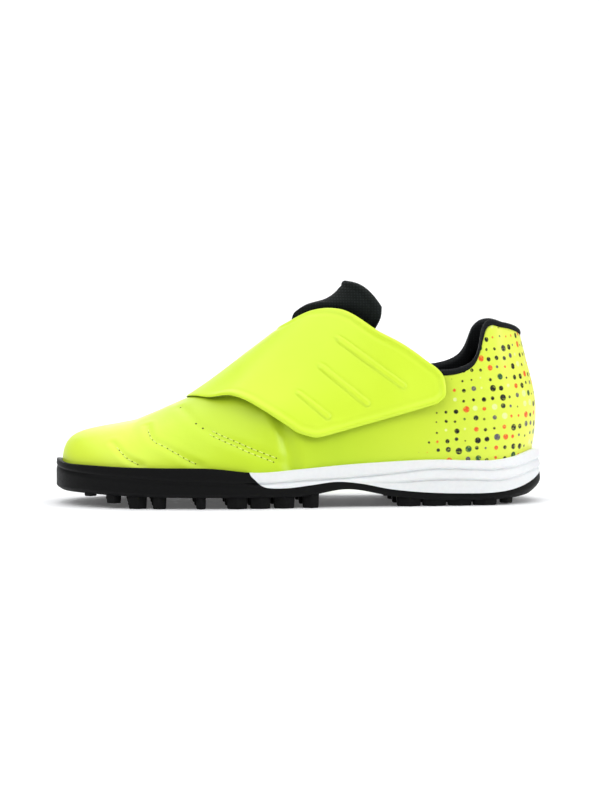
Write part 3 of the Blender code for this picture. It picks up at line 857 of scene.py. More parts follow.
def upper_chart(u, t):
    """Metres round from the back of the heel, and metres up."""
    s = AROUND * u
    steps = np.linspace(0.0, AROUND, CHART_STEPS)
    ways = lengths(form(steps, CHART_RISE))
    way = np.interp(s, steps, ways) - np.interp(HEEL, steps, ways)
    return np.stack([way, form(s, t * upper_edge(s))[:, 2]], 1)


upper_bm = bmesh.new()
sheet(upper_bm, UPPER_COLUMNS, UPPER_ROWS, upper_skin, upper_chart)
close_seams(upper_bm)
upper_surface = BVHTree.FromBMesh(upper_bm)
upper = piece("upper_shell", upper_bm, [upper_leather, lining_knit], "upper")
wall = upper.modifiers.new("wall", "SOLIDIFY")
wall.thickness = UPPER_WALL
wall.offset = -1.0
wall.material_offset = 1

# %% [markdown]
# ## Pads
# Strap and tongue are pads: a face and a back with foam between them, and a round edge. A plate with
# Solidify would have hard edges, so a pad is two sheets that meet at its outline: the distance to
# the outline says how far apart they are, and a relief is pressed into them.

# %% Pads
CROWD_ALONG = 0.5
CROWD_ACROSS = 0.6


def crowd(t, strength):
    """Moves even steps from 0 to 1 closer together at both ends."""
    return t * (1.0 - strength) + strength * 0.5 * (1.0 - np.cos(math.pi * t))


def outline(place, count):
    """Closed line round the middle layer of a pad, whose place(u, w) gives its share of the length,
    its way across, the lift of its underside and its thickness."""
    t = np.linspace(0.0, 1.0, count)
    zero = np.zeros(count)
    u = np.concatenate([t, zero + 1.0, t[::-1], zero])
    w = np.concatenate([zero, t, zero + 1.0, t[::-1]])
    share, q, lift, thick = place(u, w)
    return across_form(share, q, lift + 0.5 * thick)


def pad_layer(place, edge, rounding, fullness, pressed, upward):
    """Shape of a pad's face (+1) or back (-1); a fullness of 2 makes its edge a round arc."""
    def shape(u, w):
        share, q, lift, thick = place(crowd(u, CROWD_ALONG), crowd(w, CROWD_ACROSS))
        middle = across_form(share, q, lift + 0.5 * thick)
        gap = distance_to(middle, edge)
        inner = 1.0 - np.clip(gap / rounding, 0.0, 1.0)
        half = 0.5 * thick * np.maximum(1.0 - inner**fullness, 0.0) ** (1.0 / fullness)
        half = half + pressed(middle, gap, thick, upward)
        return across_form(share, q, lift + 0.5 * thick + upward * half)

    return shape


print("half of a crowded row lies within", round(float(crowd(0.25, CROWD_ACROSS)), 3), "of its ends")

# %% [markdown]
# ## The strap
# The strap is a wide flap of the same leather, moulded over foam: sewn on at the inner side, pulled
# over the instep and pressed down on the outer side. Its back is loop cloth, dyed dark olive as
# painted shade for the gap at its edge. We could cut it out of the upper's skin, but it stands off at
# its edges. So a short table lays it row by row from the sewn end to the free end: where its front
# and rear edge cross the shoe, and how far each stands off.

# %% Strap outline
# side: +1 inner, -1 outer. at: hundredths of the length. height: mm above the floor.
# front_lift, rear_lift: how far the edge stands off the upper, mm.
STRAP_ROWS = table(
    "side front_at front_height rear_at rear_height front_lift rear_lift",
    (1, 36.0, 26.0, 50.5, 28.0, 0.0, 0.0),
    (1, 31.5, 42.0, 49.5, 58.0, 0.0, 0.0),
    (1, 28.2, 45.0, 48.0, 75.0, 0.0, 0.0),
    (-1, 27.0, 99.0, 47.2, 99.0, 0.0, 0.2),
    (-1, 30.9, 46.5, 52.4, 84.0, 0.8, 0.2),
    (-1, 36.0, 46.2, 57.8, 85.5, 2.4, 0.2),
    (-1, 41.5, 40.8, 65.4, 76.0, 2.6, 0.3),
    (-1, 45.7, 35.4, 74.0, 64.4, 1.6, 0.6),
    (-1, 48.0, 32.4, 77.6, 58.2, 0.9, 1.0),
    (-1, 50.0, 31.0, 78.5, 52.5, 0.8, 1.6),
    (-1, 52.0, 30.3, 78.2, 47.6, 0.8, 2.2),
    (-1, 54.8, 31.6, 76.4, 44.4, 0.9, 2.2),
)
STRAP_THICK = 1.9 * MM
STRAP_CLEAR = 0.45 * MM
# rows between which the edges change from ways across the form to heights
FREE_FROM = 5.0
FREE_FULL = 9.0
# the front edge is skived thin where it is sewn, up to this row
SEWN_THIN = 0.65
SEWN_UNTIL = 3.7
# how fast the lift and the skiving fall off from an edge
LIFT_FALL = 3
SEWN_FALL = 6
STRAP_OUTLINE_POINTS = 160


def strap_shares(edge):
    """Ways across the form of the strap's front or rear edge, row by row."""
    s = station(column(STRAP_ROWS, edge + "_at"))
    outer = column(STRAP_ROWS, "side") < 0
    heights = column(STRAP_ROWS, edge + "_height") * MM
    v = rise_to(np.where(outer, s, AROUND - s), heights)
    return np.where(outer, v, 2.0 - v)


STRAP_FRONT = strap_shares("front")
STRAP_REAR = strap_shares("rear")


def strap_place(u, w):
    """Share of the length, way across, lift and thickness; u runs from the sewn to the free end."""
    r = u * (len(STRAP_ROWS) - 1)
    row = {name: open_value(column(STRAP_ROWS, name), r) for name in STRAP_ROWS[0]._fields[1:]}
    share = between(w, row["front_at"], row["rear_at"])
    q = between(w, open_value(STRAP_FRONT, r), open_value(STRAP_REAR, r))
    level = between(w, row["front_height"], row["rear_height"])
    free = soft_step((r - FREE_FROM) / (FREE_FULL - FREE_FROM))
    q = q + free * (rise_to(station(share), level * MM) - q)
    lift = row["front_lift"] * (1.0 - w) ** LIFT_FALL + row["rear_lift"] * w**LIFT_FALL
    sewn = SEWN_THIN * (1.0 - w) ** SEWN_FALL * (1.0 - soft_step(r - SEWN_UNTIL))
    return share, q, lift * MM + STRAP_CLEAR * (1.0 - sewn), STRAP_THICK * (1.0 - sewn)


STRAP_OUTLINE = outline(strap_place, STRAP_OUTLINE_POINTS)
print("strap is", round(float(lengths(STRAP_OUTLINE)[-1]) / MM), "mm round its edge")

# %% [markdown]
# ## Bars and border of the strap
# The mould presses a rolled border into the strap, and three raised bars that give the fingers a
# grip. They could be pieces of their own, but on the real strap they are one skin with it. So each
# is a low relief of the face, by the distance to the edge or to a bar's middle line.

# %% Relief of the strap
EDGE_ROUND = 1.1 * MM
BORDER_AT = 1.5 * MM
BORDER_WIDTH = 1.0 * MM
BORDER_HEIGHT = 0.2 * MM
BORDER_GROOVE = 0.16 * MM
BORDER_GROOVE_AT = 3.5 * MM
# the border flattens with the cube of the skived thickness
BORDER_FALL = 3
BAR_HALF = 1.25 * MM
BAR_SOFT = 0.4 * MM
BAR_HEIGHT = 0.38 * MM
BAR_GROOVE = 0.3 * MM
BAR_POINTS = 12
# start and end of each bar: hundredths of the length, and mm above the floor
BARS = [((57.4, 72.0), (69.6, 52.4)), ((53.5, 60.2), (62.2, 44.9)), ((48.7, 48.5), (54.2, 39.2))]


def bar_line(start, end):
    """Middle line of a bar, in the strap's middle layer."""
    places = on_side(spots(*np.linspace(start, end, BAR_POINTS)), -1)
    return lifted(*places, np.full(BAR_POINTS, STRAP_CLEAR + 0.5 * STRAP_THICK))


BAR_LINES = [bar_line(*bar) for bar in BARS]


def strap_pressed(middle, gap, thick, upward):
    """Height of border and bars on the face; the back is plain."""
    if upward < 0:
        return 0.0
    roll = hump((gap - BORDER_AT) / BORDER_WIDTH) * np.clip(gap / EDGE_ROUND, 0.0, 1.0)
    groove = hump((gap - BORDER_GROOVE_AT) / BORDER_WIDTH)
    border = BORDER_HEIGHT * roll - BORDER_GROOVE * groove
    height = border * (thick / STRAP_THICK) ** BORDER_FALL
    for line in BAR_LINES:
        past = (distance_to(middle, line) - BAR_HALF - BAR_SOFT) / BAR_SOFT
        height = height + BAR_HEIGHT * soft_step(-past) - BAR_GROOVE * hump(past)
    return height


print("bars:", len(BAR_LINES), "each", 2.0 * BAR_HALF / MM, "mm wide")

# %% Strap flap
STRAP_COLUMNS = 250
STRAP_ACROSS = 180
STRAP_FULL = 2.0
STRAP_GRAIN_DEPTH = 0.035 * MM
# Polyurethane leather, moulded over foam: the upper's neon dye, a shade brighter
strap_leather, tree, shader, place = start_material("polyurethane_leather_moulded", LEATHER_SOCKETS)
cloud = leather_grain(tree, shader, place, STRAP_GRAIN_DEPTH)
dress(tree, shader, tone=(cloud, "D5F334", "DEF942"))
# Polyester loop cloth, knitted and brushed: the strap's back, dark olive as painted shade in its gap
strap_loop_painted_shade = knit("polyester_loop_painted_shade", "5E7420", "8CA834", 0.1, 0.2 * MM)
strap_bm = bmesh.new()
for upward in (1, -1):
    layer = pad_layer(strap_place, STRAP_OUTLINE, EDGE_ROUND, STRAP_FULL, strap_pressed, upward)
    sheet(strap_bm, STRAP_COLUMNS, STRAP_ACROSS, layer)
    for face in strap_bm.faces:
        face.material_index = max(face.material_index, int(upward > 0))
close_seams(strap_bm)
strap_surface = BVHTree.FromBMesh(strap_bm)
piece("strap_flap", strap_bm, [strap_loop_painted_shade, strap_leather], "strap")

# %% [markdown]
# ## Threads and needle holes
# Bonded polyester thread holds the seams. Each stitch is a short bead of thread lying between two
# needle holes, which show darker than the thread itself. One long curve would lie on the skin like a
# wire. So a bead is one small sphere, stretched along the seam and half sunk, and a hole is a flat
# dark one, with the shade of its pit painted on. The nearest place on the finished skin seats them,
# so they follow its troughs.

# %% Stitches
STITCH_PITCH = 2.9 * MM
STITCH_LENGTH = 2.1 * MM
THREAD_HALF = 0.22 * MM
HOLE_HALF = 0.33 * MM
HOLE_FLAT = 0.2
BEAD_SIDES = 8
BEAD_RINGS = 6
HOLE_RINGS = 4
thread_bm = bmesh.new()
hole_bm = bmesh.new()


def bead(bm, rings, sizes, point, way, surface):
    """Adds a small sphere of three half sizes, seated on a surface: its first axis lies along the
    seam, and its third points out."""
    spot, out = surface.find_nearest(point)[:2]
    first = (way - out * way.dot(out)).normalized()
    axes = Matrix((first, out.cross(first), out)).transposed().to_4x4()
    place = Matrix.Translation(spot) @ axes @ Matrix.Diagonal((*sizes, 1.0))
    bmesh.ops.create_uvsphere(bm, u_segments=BEAD_SIDES, v_segments=rings, radius=1.0, matrix=place)


def punch(half, point, way, surface):
    """Adds one needle hole."""
    bead(hole_bm, HOLE_RINGS, (half, half, HOLE_FLAT * half), point, way, surface)


def sew(line, surface):
    """Adds stitches along a line at even steps, and their needle holes."""
    ways = lengths(line)
    steps = np.arange(0.5 * STITCH_PITCH, ways[-1], STITCH_PITCH)
    points = [Vector([np.interp(step, ways, row) for row in line.T]) for step in steps]
    sizes = (0.5 * STITCH_LENGTH, THREAD_HALF, THREAD_HALF)
    for before, point, after in zip(points, points[1:], points[2:]):
        way = (after - before).normalized()
        bead(thread_bm, BEAD_RINGS, sizes, point, way, surface)
        punch(HOLE_HALF, point + way * 0.5 * STITCH_PITCH, way, surface)


print("stitches:", STITCH_LENGTH / MM, "mm long,", STITCH_PITCH / MM, "mm apart")

# %% Sewing
PUNCH_HALF = 0.5 * MM
ROW_GAP = 2.1 * MM
LENGTHWISE = Vector((1.0, 0.0, 0.0))
# rows that hold the strap's sewn end: ways along the strap and across it, each from and to
ROOT_ROWS = [
    ((0.011, 0.011), (0.05, 0.95)),
    ((0.02, 0.02), (0.05, 0.95)),
    ((0.02, 0.2), (0.07, 0.07)),
]


def shifted(line, surface, gap):
    """The same seam moved sideways over the surface."""
    moved = []
    for i, point in enumerate(line):
        way = Vector(line[min(i + 1, len(line) - 1)] - line[max(i - 1, 0)]).normalized()
        spot, out = surface.find_nearest(Vector(point))[:2]
        moved.append(spot + out.cross(way) * gap)
    return np.array(moved)


for side in (-1, 1):
    sew(line_on_side(TOE_SEAM, side), upper_surface)
    sew(line_on_side(BALL_SEAM, side), upper_surface)
for point in form(*on_side(VAMP_HOLES, -1)):
    punch(PUNCH_HALF, Vector(point), LENGTHWISE, upper_surface)
for point in form(*on_side(STRAP_TACKS, -1)):
    punch(HOLE_HALF, Vector(point), LENGTHWISE, strap_surface)
for gap in (-0.5 * ROW_GAP, 0.5 * ROW_GAP):
    sew(shifted(line_on_side(VAMP_SEAM, -1), upper_surface, gap), upper_surface)
for u, w in ROOT_ROWS:
    share, q, lift, thick = strap_place(np.linspace(*u, LINE_POINTS), np.linspace(*w, LINE_POINTS))
    sew(across_form(share, q, lift + thick), strap_surface)
print("sewn with", len(thread_bm.verts), "points of thread")

# %% Threads and holes
# Bonded polyester thread, twisted: smoother than the leather, and paler, partly its own colour and
# partly painted highlight, so a seam has light flecks
THREAD_SOCKETS = {"IOR": 1.55, "Roughness": 0.4}
thread_pale_painted_highlight, tree, shader, place = start_material("polyester_thread_bonded", THREAD_SOCKETS)
twist = add(tree, "TexNoise", {"Vector": place, "Scale": 0.5 / THREAD_HALF})["Fac"]
dress(tree, shader, tone=(twist, "DDF05A", "F3FAA2"))
# Needle holes, punched: flat dark discs, painted shade of each hole's pit over the dark textile back
# of the leather, frayed
HOLE_SOCKETS = {"IOR": 1.45, "Roughness": 0.9}
hole_painted_shade, tree, shader, place = start_material("needle_hole_back_painted_shade", HOLE_SOCKETS)
fray = add(tree, "TexNoise", {"Vector": place, "Scale": 1.0 / HOLE_HALF, "Detail": 3.0})["Fac"]
dress(tree, shader, tone=(fray, "36420C", "62721E"))
piece("seam_threads", thread_bm, [thread_pale_painted_highlight])
piece("needle_holes", hole_bm, [hole_painted_shade])

# %% [markdown]
# ## The tongue
# The tongue is air mesh over foam, sewn in under the vamp. Behind the strap nothing holds it down, so
# it swells, and its two wings wrap the ankle. A cloth simulation would blow it up evenly, but here
# strap and upper press most of it flat. So a table gives its rows, and it swells only where it lies
# bare.

# %% Tongue rows
# at: hundredths of the length. sweep: how far the wings run back. spread: share of the way down the
# side. swell: mm that the pad stands out behind the strap. thick: mm.
TONGUE_ROWS = table(
    "at sweep spread swell thick",
    (33.0, 0.0, 0.16, 0.0, 1.9),
    (38.5, 0.0, 0.25, 0.0, 2.2),
    (44.0, 0.3, 0.30, 0.0, 2.8),
    (48.5, 1.4, 0.33, 5.3, 3.8),
    (52.0, 3.4, 0.38, 6.2, 5.2),
    (55.5, 5.4, 0.415, 3.5, 4.8),
    (57.8, 6.1, 0.405, 3.3, 5.2),
    (59.5, 6.1, 0.38, 4.8, 6.2),
    (60.3, 5.7, 0.335, 4.2, 5.6),
)
WING_SOFT = 0.3
SEAT_GAP = 0.45 * MM
# rows of the strap before its rear edge turns down the side
REAR_ROWS = 8
# hundredths of the length behind the strap where the pad starts to swell, and then needs for it
BARE_FROM = 0.3
BARE_GROWS = 2.5
# share of the way up that the pad keeps clear of the upper's edge, and then needs to swell
EDGE_CLEAR = 0.06
TONGUE_OUTLINE_POINTS = 120


def strap_rear(q):
    """Place of the strap's rear edge, hundredths of the length, at a way across the form."""
    ways = STRAP_REAR[:REAR_ROWS]
    order = np.argsort(ways)
    return np.interp(q, ways[order], column(STRAP_ROWS, "rear_at")[:REAR_ROWS][order])


def bare(share, q):
    """How clear a point of the tongue lies of the strap and of the upper's edge, 0 to 1."""
    s = station(share)
    edge = topline_share(np.where(q > 1.0, AROUND - s, s))
    past_strap = (share - strap_rear(q) - BARE_FROM) / BARE_GROWS
    past_edge = (np.minimum(q, 2.0 - q) - edge - EDGE_CLEAR) / EDGE_CLEAR
    free = np.clip(np.minimum(past_strap, past_edge), 0.0, 1.0)
    return free * (2.0 - free)


def tongue_place(u, w):
    """Share of the length, way across, lift of the underside and thickness."""
    r = u * (len(TONGUE_ROWS) - 1)
    row = [open_value(column(TONGUE_ROWS, name), r) for name in TONGUE_ROWS[0]._fields]
    root, sweep, spread, swell, thick = row
    a = 2.0 * w - 1.0
    wing = (np.hypot(a, WING_SOFT) - WING_SOFT) / (math.hypot(1.0, WING_SOFT) - WING_SOFT)
    share = root + sweep * wing
    q = 1.0 + spread * a
    face = swell * bare(share, q) * MM - UPPER_WALL - SEAT_GAP
    return share, q, face - thick * MM, thick * MM


TONGUE_OUTLINE = outline(tongue_place, TONGUE_OUTLINE_POINTS)
print("tongue reaches", round(float(TONGUE_OUTLINE[:, 2].max()) / MM, 1), "mm up")

# %% Tongue pad
TONGUE_COLUMNS = 110
TONGUE_LENGTHWISE = 150
TONGUE_ROUND = 3.2 * MM
TONGUE_FULL = 2.5
HEM_AT = 4.2 * MM
HEM_WIDTH = 0.9 * MM
HEM_DEPTH = 0.45 * MM
HEM_THICKEST = 3.0 * MM


def tongue_pressed(middle, gap, thick, upward):
    """Sewn hem, on face and back alike, where the pad is thick."""
    return -HEM_DEPTH * hump((gap - HEM_AT) / HEM_WIDTH) * (thick > HEM_THICKEST)


tongue_bm = bmesh.new()
for upward in (1, -1):
    layer = pad_layer(tongue_place, TONGUE_OUTLINE, TONGUE_ROUND, TONGUE_FULL, tongue_pressed, upward)
    sheet(tongue_bm, TONGUE_COLUMNS, TONGUE_LENGTHWISE, lambda w, u: layer(u, w))
close_seams(tongue_bm)
tongue = piece("tongue_pad", tongue_bm, [tongue_mesh], "tongue")

# %% [markdown]
# ## The collar
# A padded cuff of lining knit rolls over the topline and down inside the heel, so nothing rubs the
# ankle. A tube along the topline would be too round: the cuff is flat against the wall and full at
# the top. So we sweep a closed outline round the topline, on a sheet that bends back on itself, and
# close it to a point at both ends.

# %% Collar cuff
# out: from the upper's face, up: from its edge, mm
CUFF = table(
    "out up",
    (-0.2, 0.1), (0.5, 0.8), (0.5, 1.8), (-0.7, 2.8), (-2.6, 3.0), (-4.6, 2.5),
    (-5.5, 1.0), (-5.5, -4.0), (-4.6, -10.0), (-2.5, -10.4), (-2.5, -4.0), (-2.2, 0.0),
)
CUFF_RING = [CUFF[-1], *CUFF, *CUFF[:2]]
CUFF_START = 60.0
CUFF_STEPS = 300
CUFF_ROUND = 66
CUFF_TAPER = 0.02
FRONT_ROLL = 0.45


def cuff(u, t):
    """Points of the cuff: u runs along the topline, t round its outline."""
    first = station(np.array([CUFF_START]))[0]
    s = first + (AROUND - 2.0 * first) * u
    out, up = (open_value(column(CUFF_RING, name), t * len(CUFF) + 1.0) for name in ("out", "up"))
    up = np.where(up > 0.0, up * between(rolled(s), FRONT_ROLL, 1.0), up)
    full = np.sqrt(np.clip(np.minimum(u, 1.0 - u) / CUFF_TAPER, 0.0, 1.0))
    middle_out, middle_up = (np.mean(column(CUFF, name)) for name in ("out", "up"))
    end = upper_edge(s)
    climb = np.linalg.norm(form(s, end + RISE_STEP) - form(s, end - RISE_STEP), axis=1)
    rise = end + (middle_up + (up - middle_up) * full) * MM * 2.0 * RISE_STEP / climb
    return lifted(s, rise, (middle_out + (out - middle_out) * full) * MM)


collar_bm = bmesh.new()
sheet(collar_bm, CUFF_STEPS, CUFF_ROUND, cuff)
close_seams(collar_bm)
collar = piece("collar_cuff", collar_bm, [lining_knit], "collar")

# %% [markdown]
# ## The sole's side
# Under the foot lie two moulded pieces: a wedge of white foam from the arch to the heel, and a black
# rubber outsole that cups the whole forefoot and runs thin under the arch and round the heel. They
# could be modelled apart, but they share one outer wall, and two walls would never match as well. So
# two tables give that wall and the line that parts it.

# %% Sole tables
# rim, bottom: heights of the cup's edge and of the underside, mm. margin: sole outside the feather
# edge. cut_in, cut_up: rounding of the lower edge. rib_low, rib_high: heights of the side's steps.
SIDES = table(
    "rim bottom margin cut_in cut_up rib_low rib_high",
    (19.8, 6.2, 2.7, 2.4, 2.2, 13.9, 16.8),
    (18.6, 6.2, 3.1, 2.2, 2.0, 13.1, 15.8),
    (18.4, 6.0, 3.2, 2.0, 2.0, 12.0, 14.8),
    (18.0, 5.6, 3.0, 1.5, 1.8, 11.0, 14.0),
    (17.8, 5.1, 2.8, 1.2, 1.5, 9.6, 12.6),
    (17.6, 5.0, 2.6, 1.2, 1.5, 9.0, 11.8),
    (15.7, 5.0, 2.6, 1.2, 1.5, 8.2, 11.0),
    (17.1, 5.2, 2.8, 1.2, 1.5, 9.0, 12.1),
    (18.7, 8.0, 3.0, 1.2, 1.2, 10.4, 13.0),
    (19.8, 4.6, 3.2, 1.2, 1.5, 10.6, 14.6),
    (20.4, 2.8, 3.4, 1.2, 1.5, 11.6, 16.4),
    (19.9, 2.6, 3.6, 1.2, 1.5, 11.5, 16.0),
    (19.9, 2.6, 4.0, 1.5, 1.8, 10.9, 15.7),
    (21.2, 3.0, 4.3, 2.0, 2.4, 12.2, 16.6),
    (23.6, 3.8, 5.0, 3.4, 4.2, 14.6, 18.6),
    (23.4, 4.4, 5.9, 4.6, 6.0, 15.4, 19.2),
)
LOOPS.update({name: loop(SIDES, name) for name in SIDES[0]._fields})

# line where the foam meets the rubber, from the forefoot back to the heel
SPLIT = spots(
    (37.9, 30.0), (38.2, 17.0), (39.5, 12.6), (41.6, 9.4), (46.0, 9.0),
    (51.0, 10.2), (56.0, 11.4), (61.0, 10.4), (67.0, 7.8), (74.0, 6.2),
    (81.0, 5.6), (88.0, 5.7), (93.0, 7.2), (97.0, 10.2), (101.0, 15.0),
)
print("sole is", round(float(LOOPS["rim"].max()), 1), "mm high at most")

# %% [markdown]
# ## Steps and grooves
# The side of a moulded sole isn't a plain wall: it leans in, steps out again and has a fine groove
# under each step, which catches the light as two lines round the foam. Bump would draw the lines, but
# the steps show in the outline too. So the reach of the wall is worked out at each height.

# %% Steps of the side
STEP_UP = 0.7
# mm that the wall leans in or steps out, from the lower edge to the rim
LOW_LEAN = -0.6
LOW_STEP = 0.7
MIDDLE_LEAN = -0.8
HIGH_STEP = 0.7
HIGH_LEAN = -0.6
GROOVE = 0.55
GROOVE_HALF = 0.5
# hundredths of the length where the lower step and then all steps grow; before that they are low
LOW_FROM = 60.0
LOW_GROWS = 12.0
STEPS_FROM = 36.0
STEPS_GROW = 5.0
TOE_STEPS = 0.3
EDGE_STEP = 0.03


def outward(s):
    """Level directions straight out of the feather edge."""
    step = feather(s + EDGE_STEP) - feather(s - EDGE_STEP)
    out = np.stack([step[..., 1], -step[..., 0]], -1)
    return out / np.linalg.norm(out, axis=-1)[..., None]


def side_reach(s, height):
    """Reach of the sole's side outside the feather edge, mm, at a height in mm."""
    bottom, low, high, rim = (at(name, s) for name in ("bottom", "rib_low", "rib_high", "rim"))
    rounding = np.clip((height - bottom) / at("cut_up", s), 0.0, 1.0)
    reach = at("margin", s) - at("cut_in", s) * (1.0 - np.sin(0.5 * math.pi * rounding))
    depth = between(soft_step((at("at", s) - STEPS_FROM) / STEPS_GROW), TOE_STEPS, 1.0)
    heel = soft_step((at("at", s) - LOW_FROM) / LOW_GROWS)
    for start, end, change in (
        (bottom + at("cut_up", s), low, LOW_LEAN * heel),
        (low, low + STEP_UP, LOW_STEP * heel),
        (low + STEP_UP, high, MIDDLE_LEAN),
        (high, high + STEP_UP, HIGH_STEP),
        (high + STEP_UP, rim, HIGH_LEAN),
    ):
        reach = reach + change * depth * soft_step((height - start) / (end - start))
    for line, strength in ((low, heel), (high, 1.0)):
        reach = reach - GROOVE * strength * depth * hump((height - line) / GROOVE_HALF)
    return reach


toe_reach = float(side_reach(np.array([0.0]), LOOPS["rim"][:1])[0])
print("rim stands out", round(toe_reach, 2), "mm at the toe tip")

# %% [markdown]
# ## The sole's block
# The two pieces start as one closed block. A cube could be carved to it, but the wall is already a
# shape function, so we lay it as a sheet round the shoe: up the side, over the rim and down into the
# cup. Two more sheets of straight rungs from side to side close it below and above.

# %% Sole block
SOLE_COLUMNS = 400
SOLE_ROWS = 76
SOLE_ACROSS = 16
RIM_STARTS = 0.84
RIM_ENDS = 0.92
LIP_CROWN = 0.35 * MM
LIP_DROP = 0.4
CUP_GAP = 0.3 * MM


def wall_point(s, height, out):
    """Points of the upper's outer face at a height, moved level outwards."""
    points = form(s, rise_to(s, height))
    points[..., :2] += outward(s) * out
    points[..., 2] = height
    return points


def sole_side(s, t):
    """Side of the sole, its rim and the inside of its cup, for t from 0 to 1."""
    height = between(np.clip(t / RIM_STARTS, 0.0, 1.0), at("bottom", s), at("rim", s))
    level = feather(s) + outward(s) * (side_reach(s, height) * MM)[..., None]
    outer = np.concatenate([level, (height * MM)[..., None]], -1)
    inner = wall_point(s, (at("rim", s) - LIP_DROP) * MM, CUP_GAP)
    floor = wall_point(s, at("floor", s) * MM, CUP_GAP)
    floor[..., 2] -= CUP_GAP
    over = np.clip((t - RIM_STARTS) / (RIM_ENDS - RIM_STARTS), 0.0, 1.0)[..., None]
    down = np.clip((t - RIM_ENDS) / (1.0 - RIM_ENDS), 0.0, 1.0)[..., None]
    points = between(over, outer, inner)
    points[..., 2] += LIP_CROWN * np.sin(math.pi * over[..., 0])
    return between(down, points, floor)


def rungs(edge):
    """Sheet of straight rungs from the outer to the inner side of an edge round the shoe."""
    return lambda a, u: between(a[:, None], edge(HEEL * u), edge(AROUND - HEEL * u))


block_bm = bmesh.new()
sheet(block_bm, SOLE_COLUMNS, SOLE_ROWS, lambda u, t: sole_side(AROUND * u, t))
for border in (0.0, 1.0):
    closing = rungs(lambda s: sole_side(s, np.full(s.shape, border)))
    sheet(block_bm, SOLE_ACROSS, SOLE_COLUMNS // 2, closing)
close_seams(block_bm)
open_edges = sum(edge.is_boundary for edge in block_bm.edges)
print("sole block:", len(block_bm.faces), "faces, open edges:", open_edges)

# %% [markdown]
# ## Parting the block
# Foam and rubber are moulded apart and cemented along a curved line. The line could be followed by
# moving rows of faces, but a knife is simpler and exact: we draw the block's outline below the line
# once, pull it across the shoe, and cut with it. What lies inside is rubber, the rest is foam.

# %% Parting the block
PARTING_POINTS = 120
PARTING_GAP = 0.06 * MM
KNIFE_DEPTH = 20.0 * MM
KNIFE_HALF = 70.0 * MM
KNIFE_ENDS = (-8.0, 108.0)


def parting_knife(raised):
    """Block below the parting line: its outline drawn once, then pulled across the shoe."""
    r = np.linspace(0.0, len(SPLIT) - 1.0, PARTING_POINTS)
    shares, heights = (open_value(column(SPLIT, name), r) for name in ("at", "height"))
    line = np.stack([along(shares), heights * MM], 1)
    step = np.gradient(line, axis=0)
    side = np.stack([-step[:, 1], step[:, 0]], 1)
    line = line + raised * side / np.linalg.norm(side, axis=1)[:, None]
    toe, heel = along(KNIFE_ENDS)
    corners = [(heel, line[-1, 1]), (heel, -KNIFE_DEPTH), (toe, -KNIFE_DEPTH), (toe, line[0, 1])]
    bm = bmesh.new()
    face = bm.faces.new([bm.verts.new((x, -KNIFE_HALF, z)) for x, z in [*line, *corners]])
    pulled = bmesh.ops.extrude_face_region(bm, geom=[face])["geom"]
    verts = [thing for thing in pulled if isinstance(thing, bmesh.types.BMVert)]
    bmesh.ops.translate(bm, verts=verts, vec=(0.0, 2.0 * KNIFE_HALF, 0.0))
    bmesh.ops.recalc_face_normals(bm, faces=bm.faces)
    return bm


def parted(raised, operation):
    """Copy of the block cut by the knife, as a bmesh; the blanks are removed again."""
    block = into_scene("sole_blank", block_bm)
    knife = into_scene("knife_blank", parting_knife(raised))
    cut = block.modifiers.new("parting", "BOOLEAN")
    cut.object = knife
    cut.operation = operation
    cut.solver = "EXACT"
    solid = block.evaluated_get(bpy.context.evaluated_depsgraph_get())
    bm = bmesh.new()
    bm.from_mesh(solid.to_mesh())
    solid.to_mesh_clear()
    for blank in (block, knife):
        bpy.data.objects.remove(blank)
    return bm


midsole_bm = parted(PARTING_GAP, "DIFFERENCE")
outsole_bm = parted(0.0, "INTERSECT")
print("foam:", len(midsole_bm.faces), "faces; rubber:", len(outsole_bm.faces), "faces")

# %% [markdown]
# ## Foam
# The wedge is EVA foam, moulded with a closed skin: white, satin, very faintly mottled by its cells.
# It could be a plain white, but the small unevenness of a moulding is what the eye reads as foam. So
# one fine noise leads its tone, its gloss and a shallow skin. The cells, about 0.5 mm, are drawn
# coarser to show.

# %% Midsole wedge
EVA_CELL = 1.6 * MM
SHARP_ANGLE = math.radians(38.0)
# EVA foam, compression moulded: a bright satin skin with faint mottling from the foam's cells
EVA_SOCKETS = {"IOR": 1.48, "Subsurface Weight": 0.08, "Subsurface Scale": 2.0 * MM}
eva_foam, tree, shader, place = start_material("eva_foam_moulded", EVA_SOCKETS)
mottle = add(tree, "TexNoise", {"Vector": place, "Scale": 1.0 / EVA_CELL, "Detail": 4.0})["Fac"]
dress(tree, shader, (mottle, "E8EAED", "F3F4F6"), (mottle, 0.42, 0.6), (mottle, 0.05 * MM, 0.35))
midsole = piece("midsole_wedge", midsole_bm, [eva_foam], "midsole")
midsole.data.set_sharp_from_angle(angle=SHARP_ANGLE)

# %% [markdown]
# ## Lugs
# Turf shoes stand on many low rubber lugs, in rows across the sole, all on one plane under the ball
# and the heel. They could be cubes, but moulded lugs taper and have round edges. So each is a
# six-sided cone with flat ends, stretched along the shoe and bevelled, its root sunk in the sole.

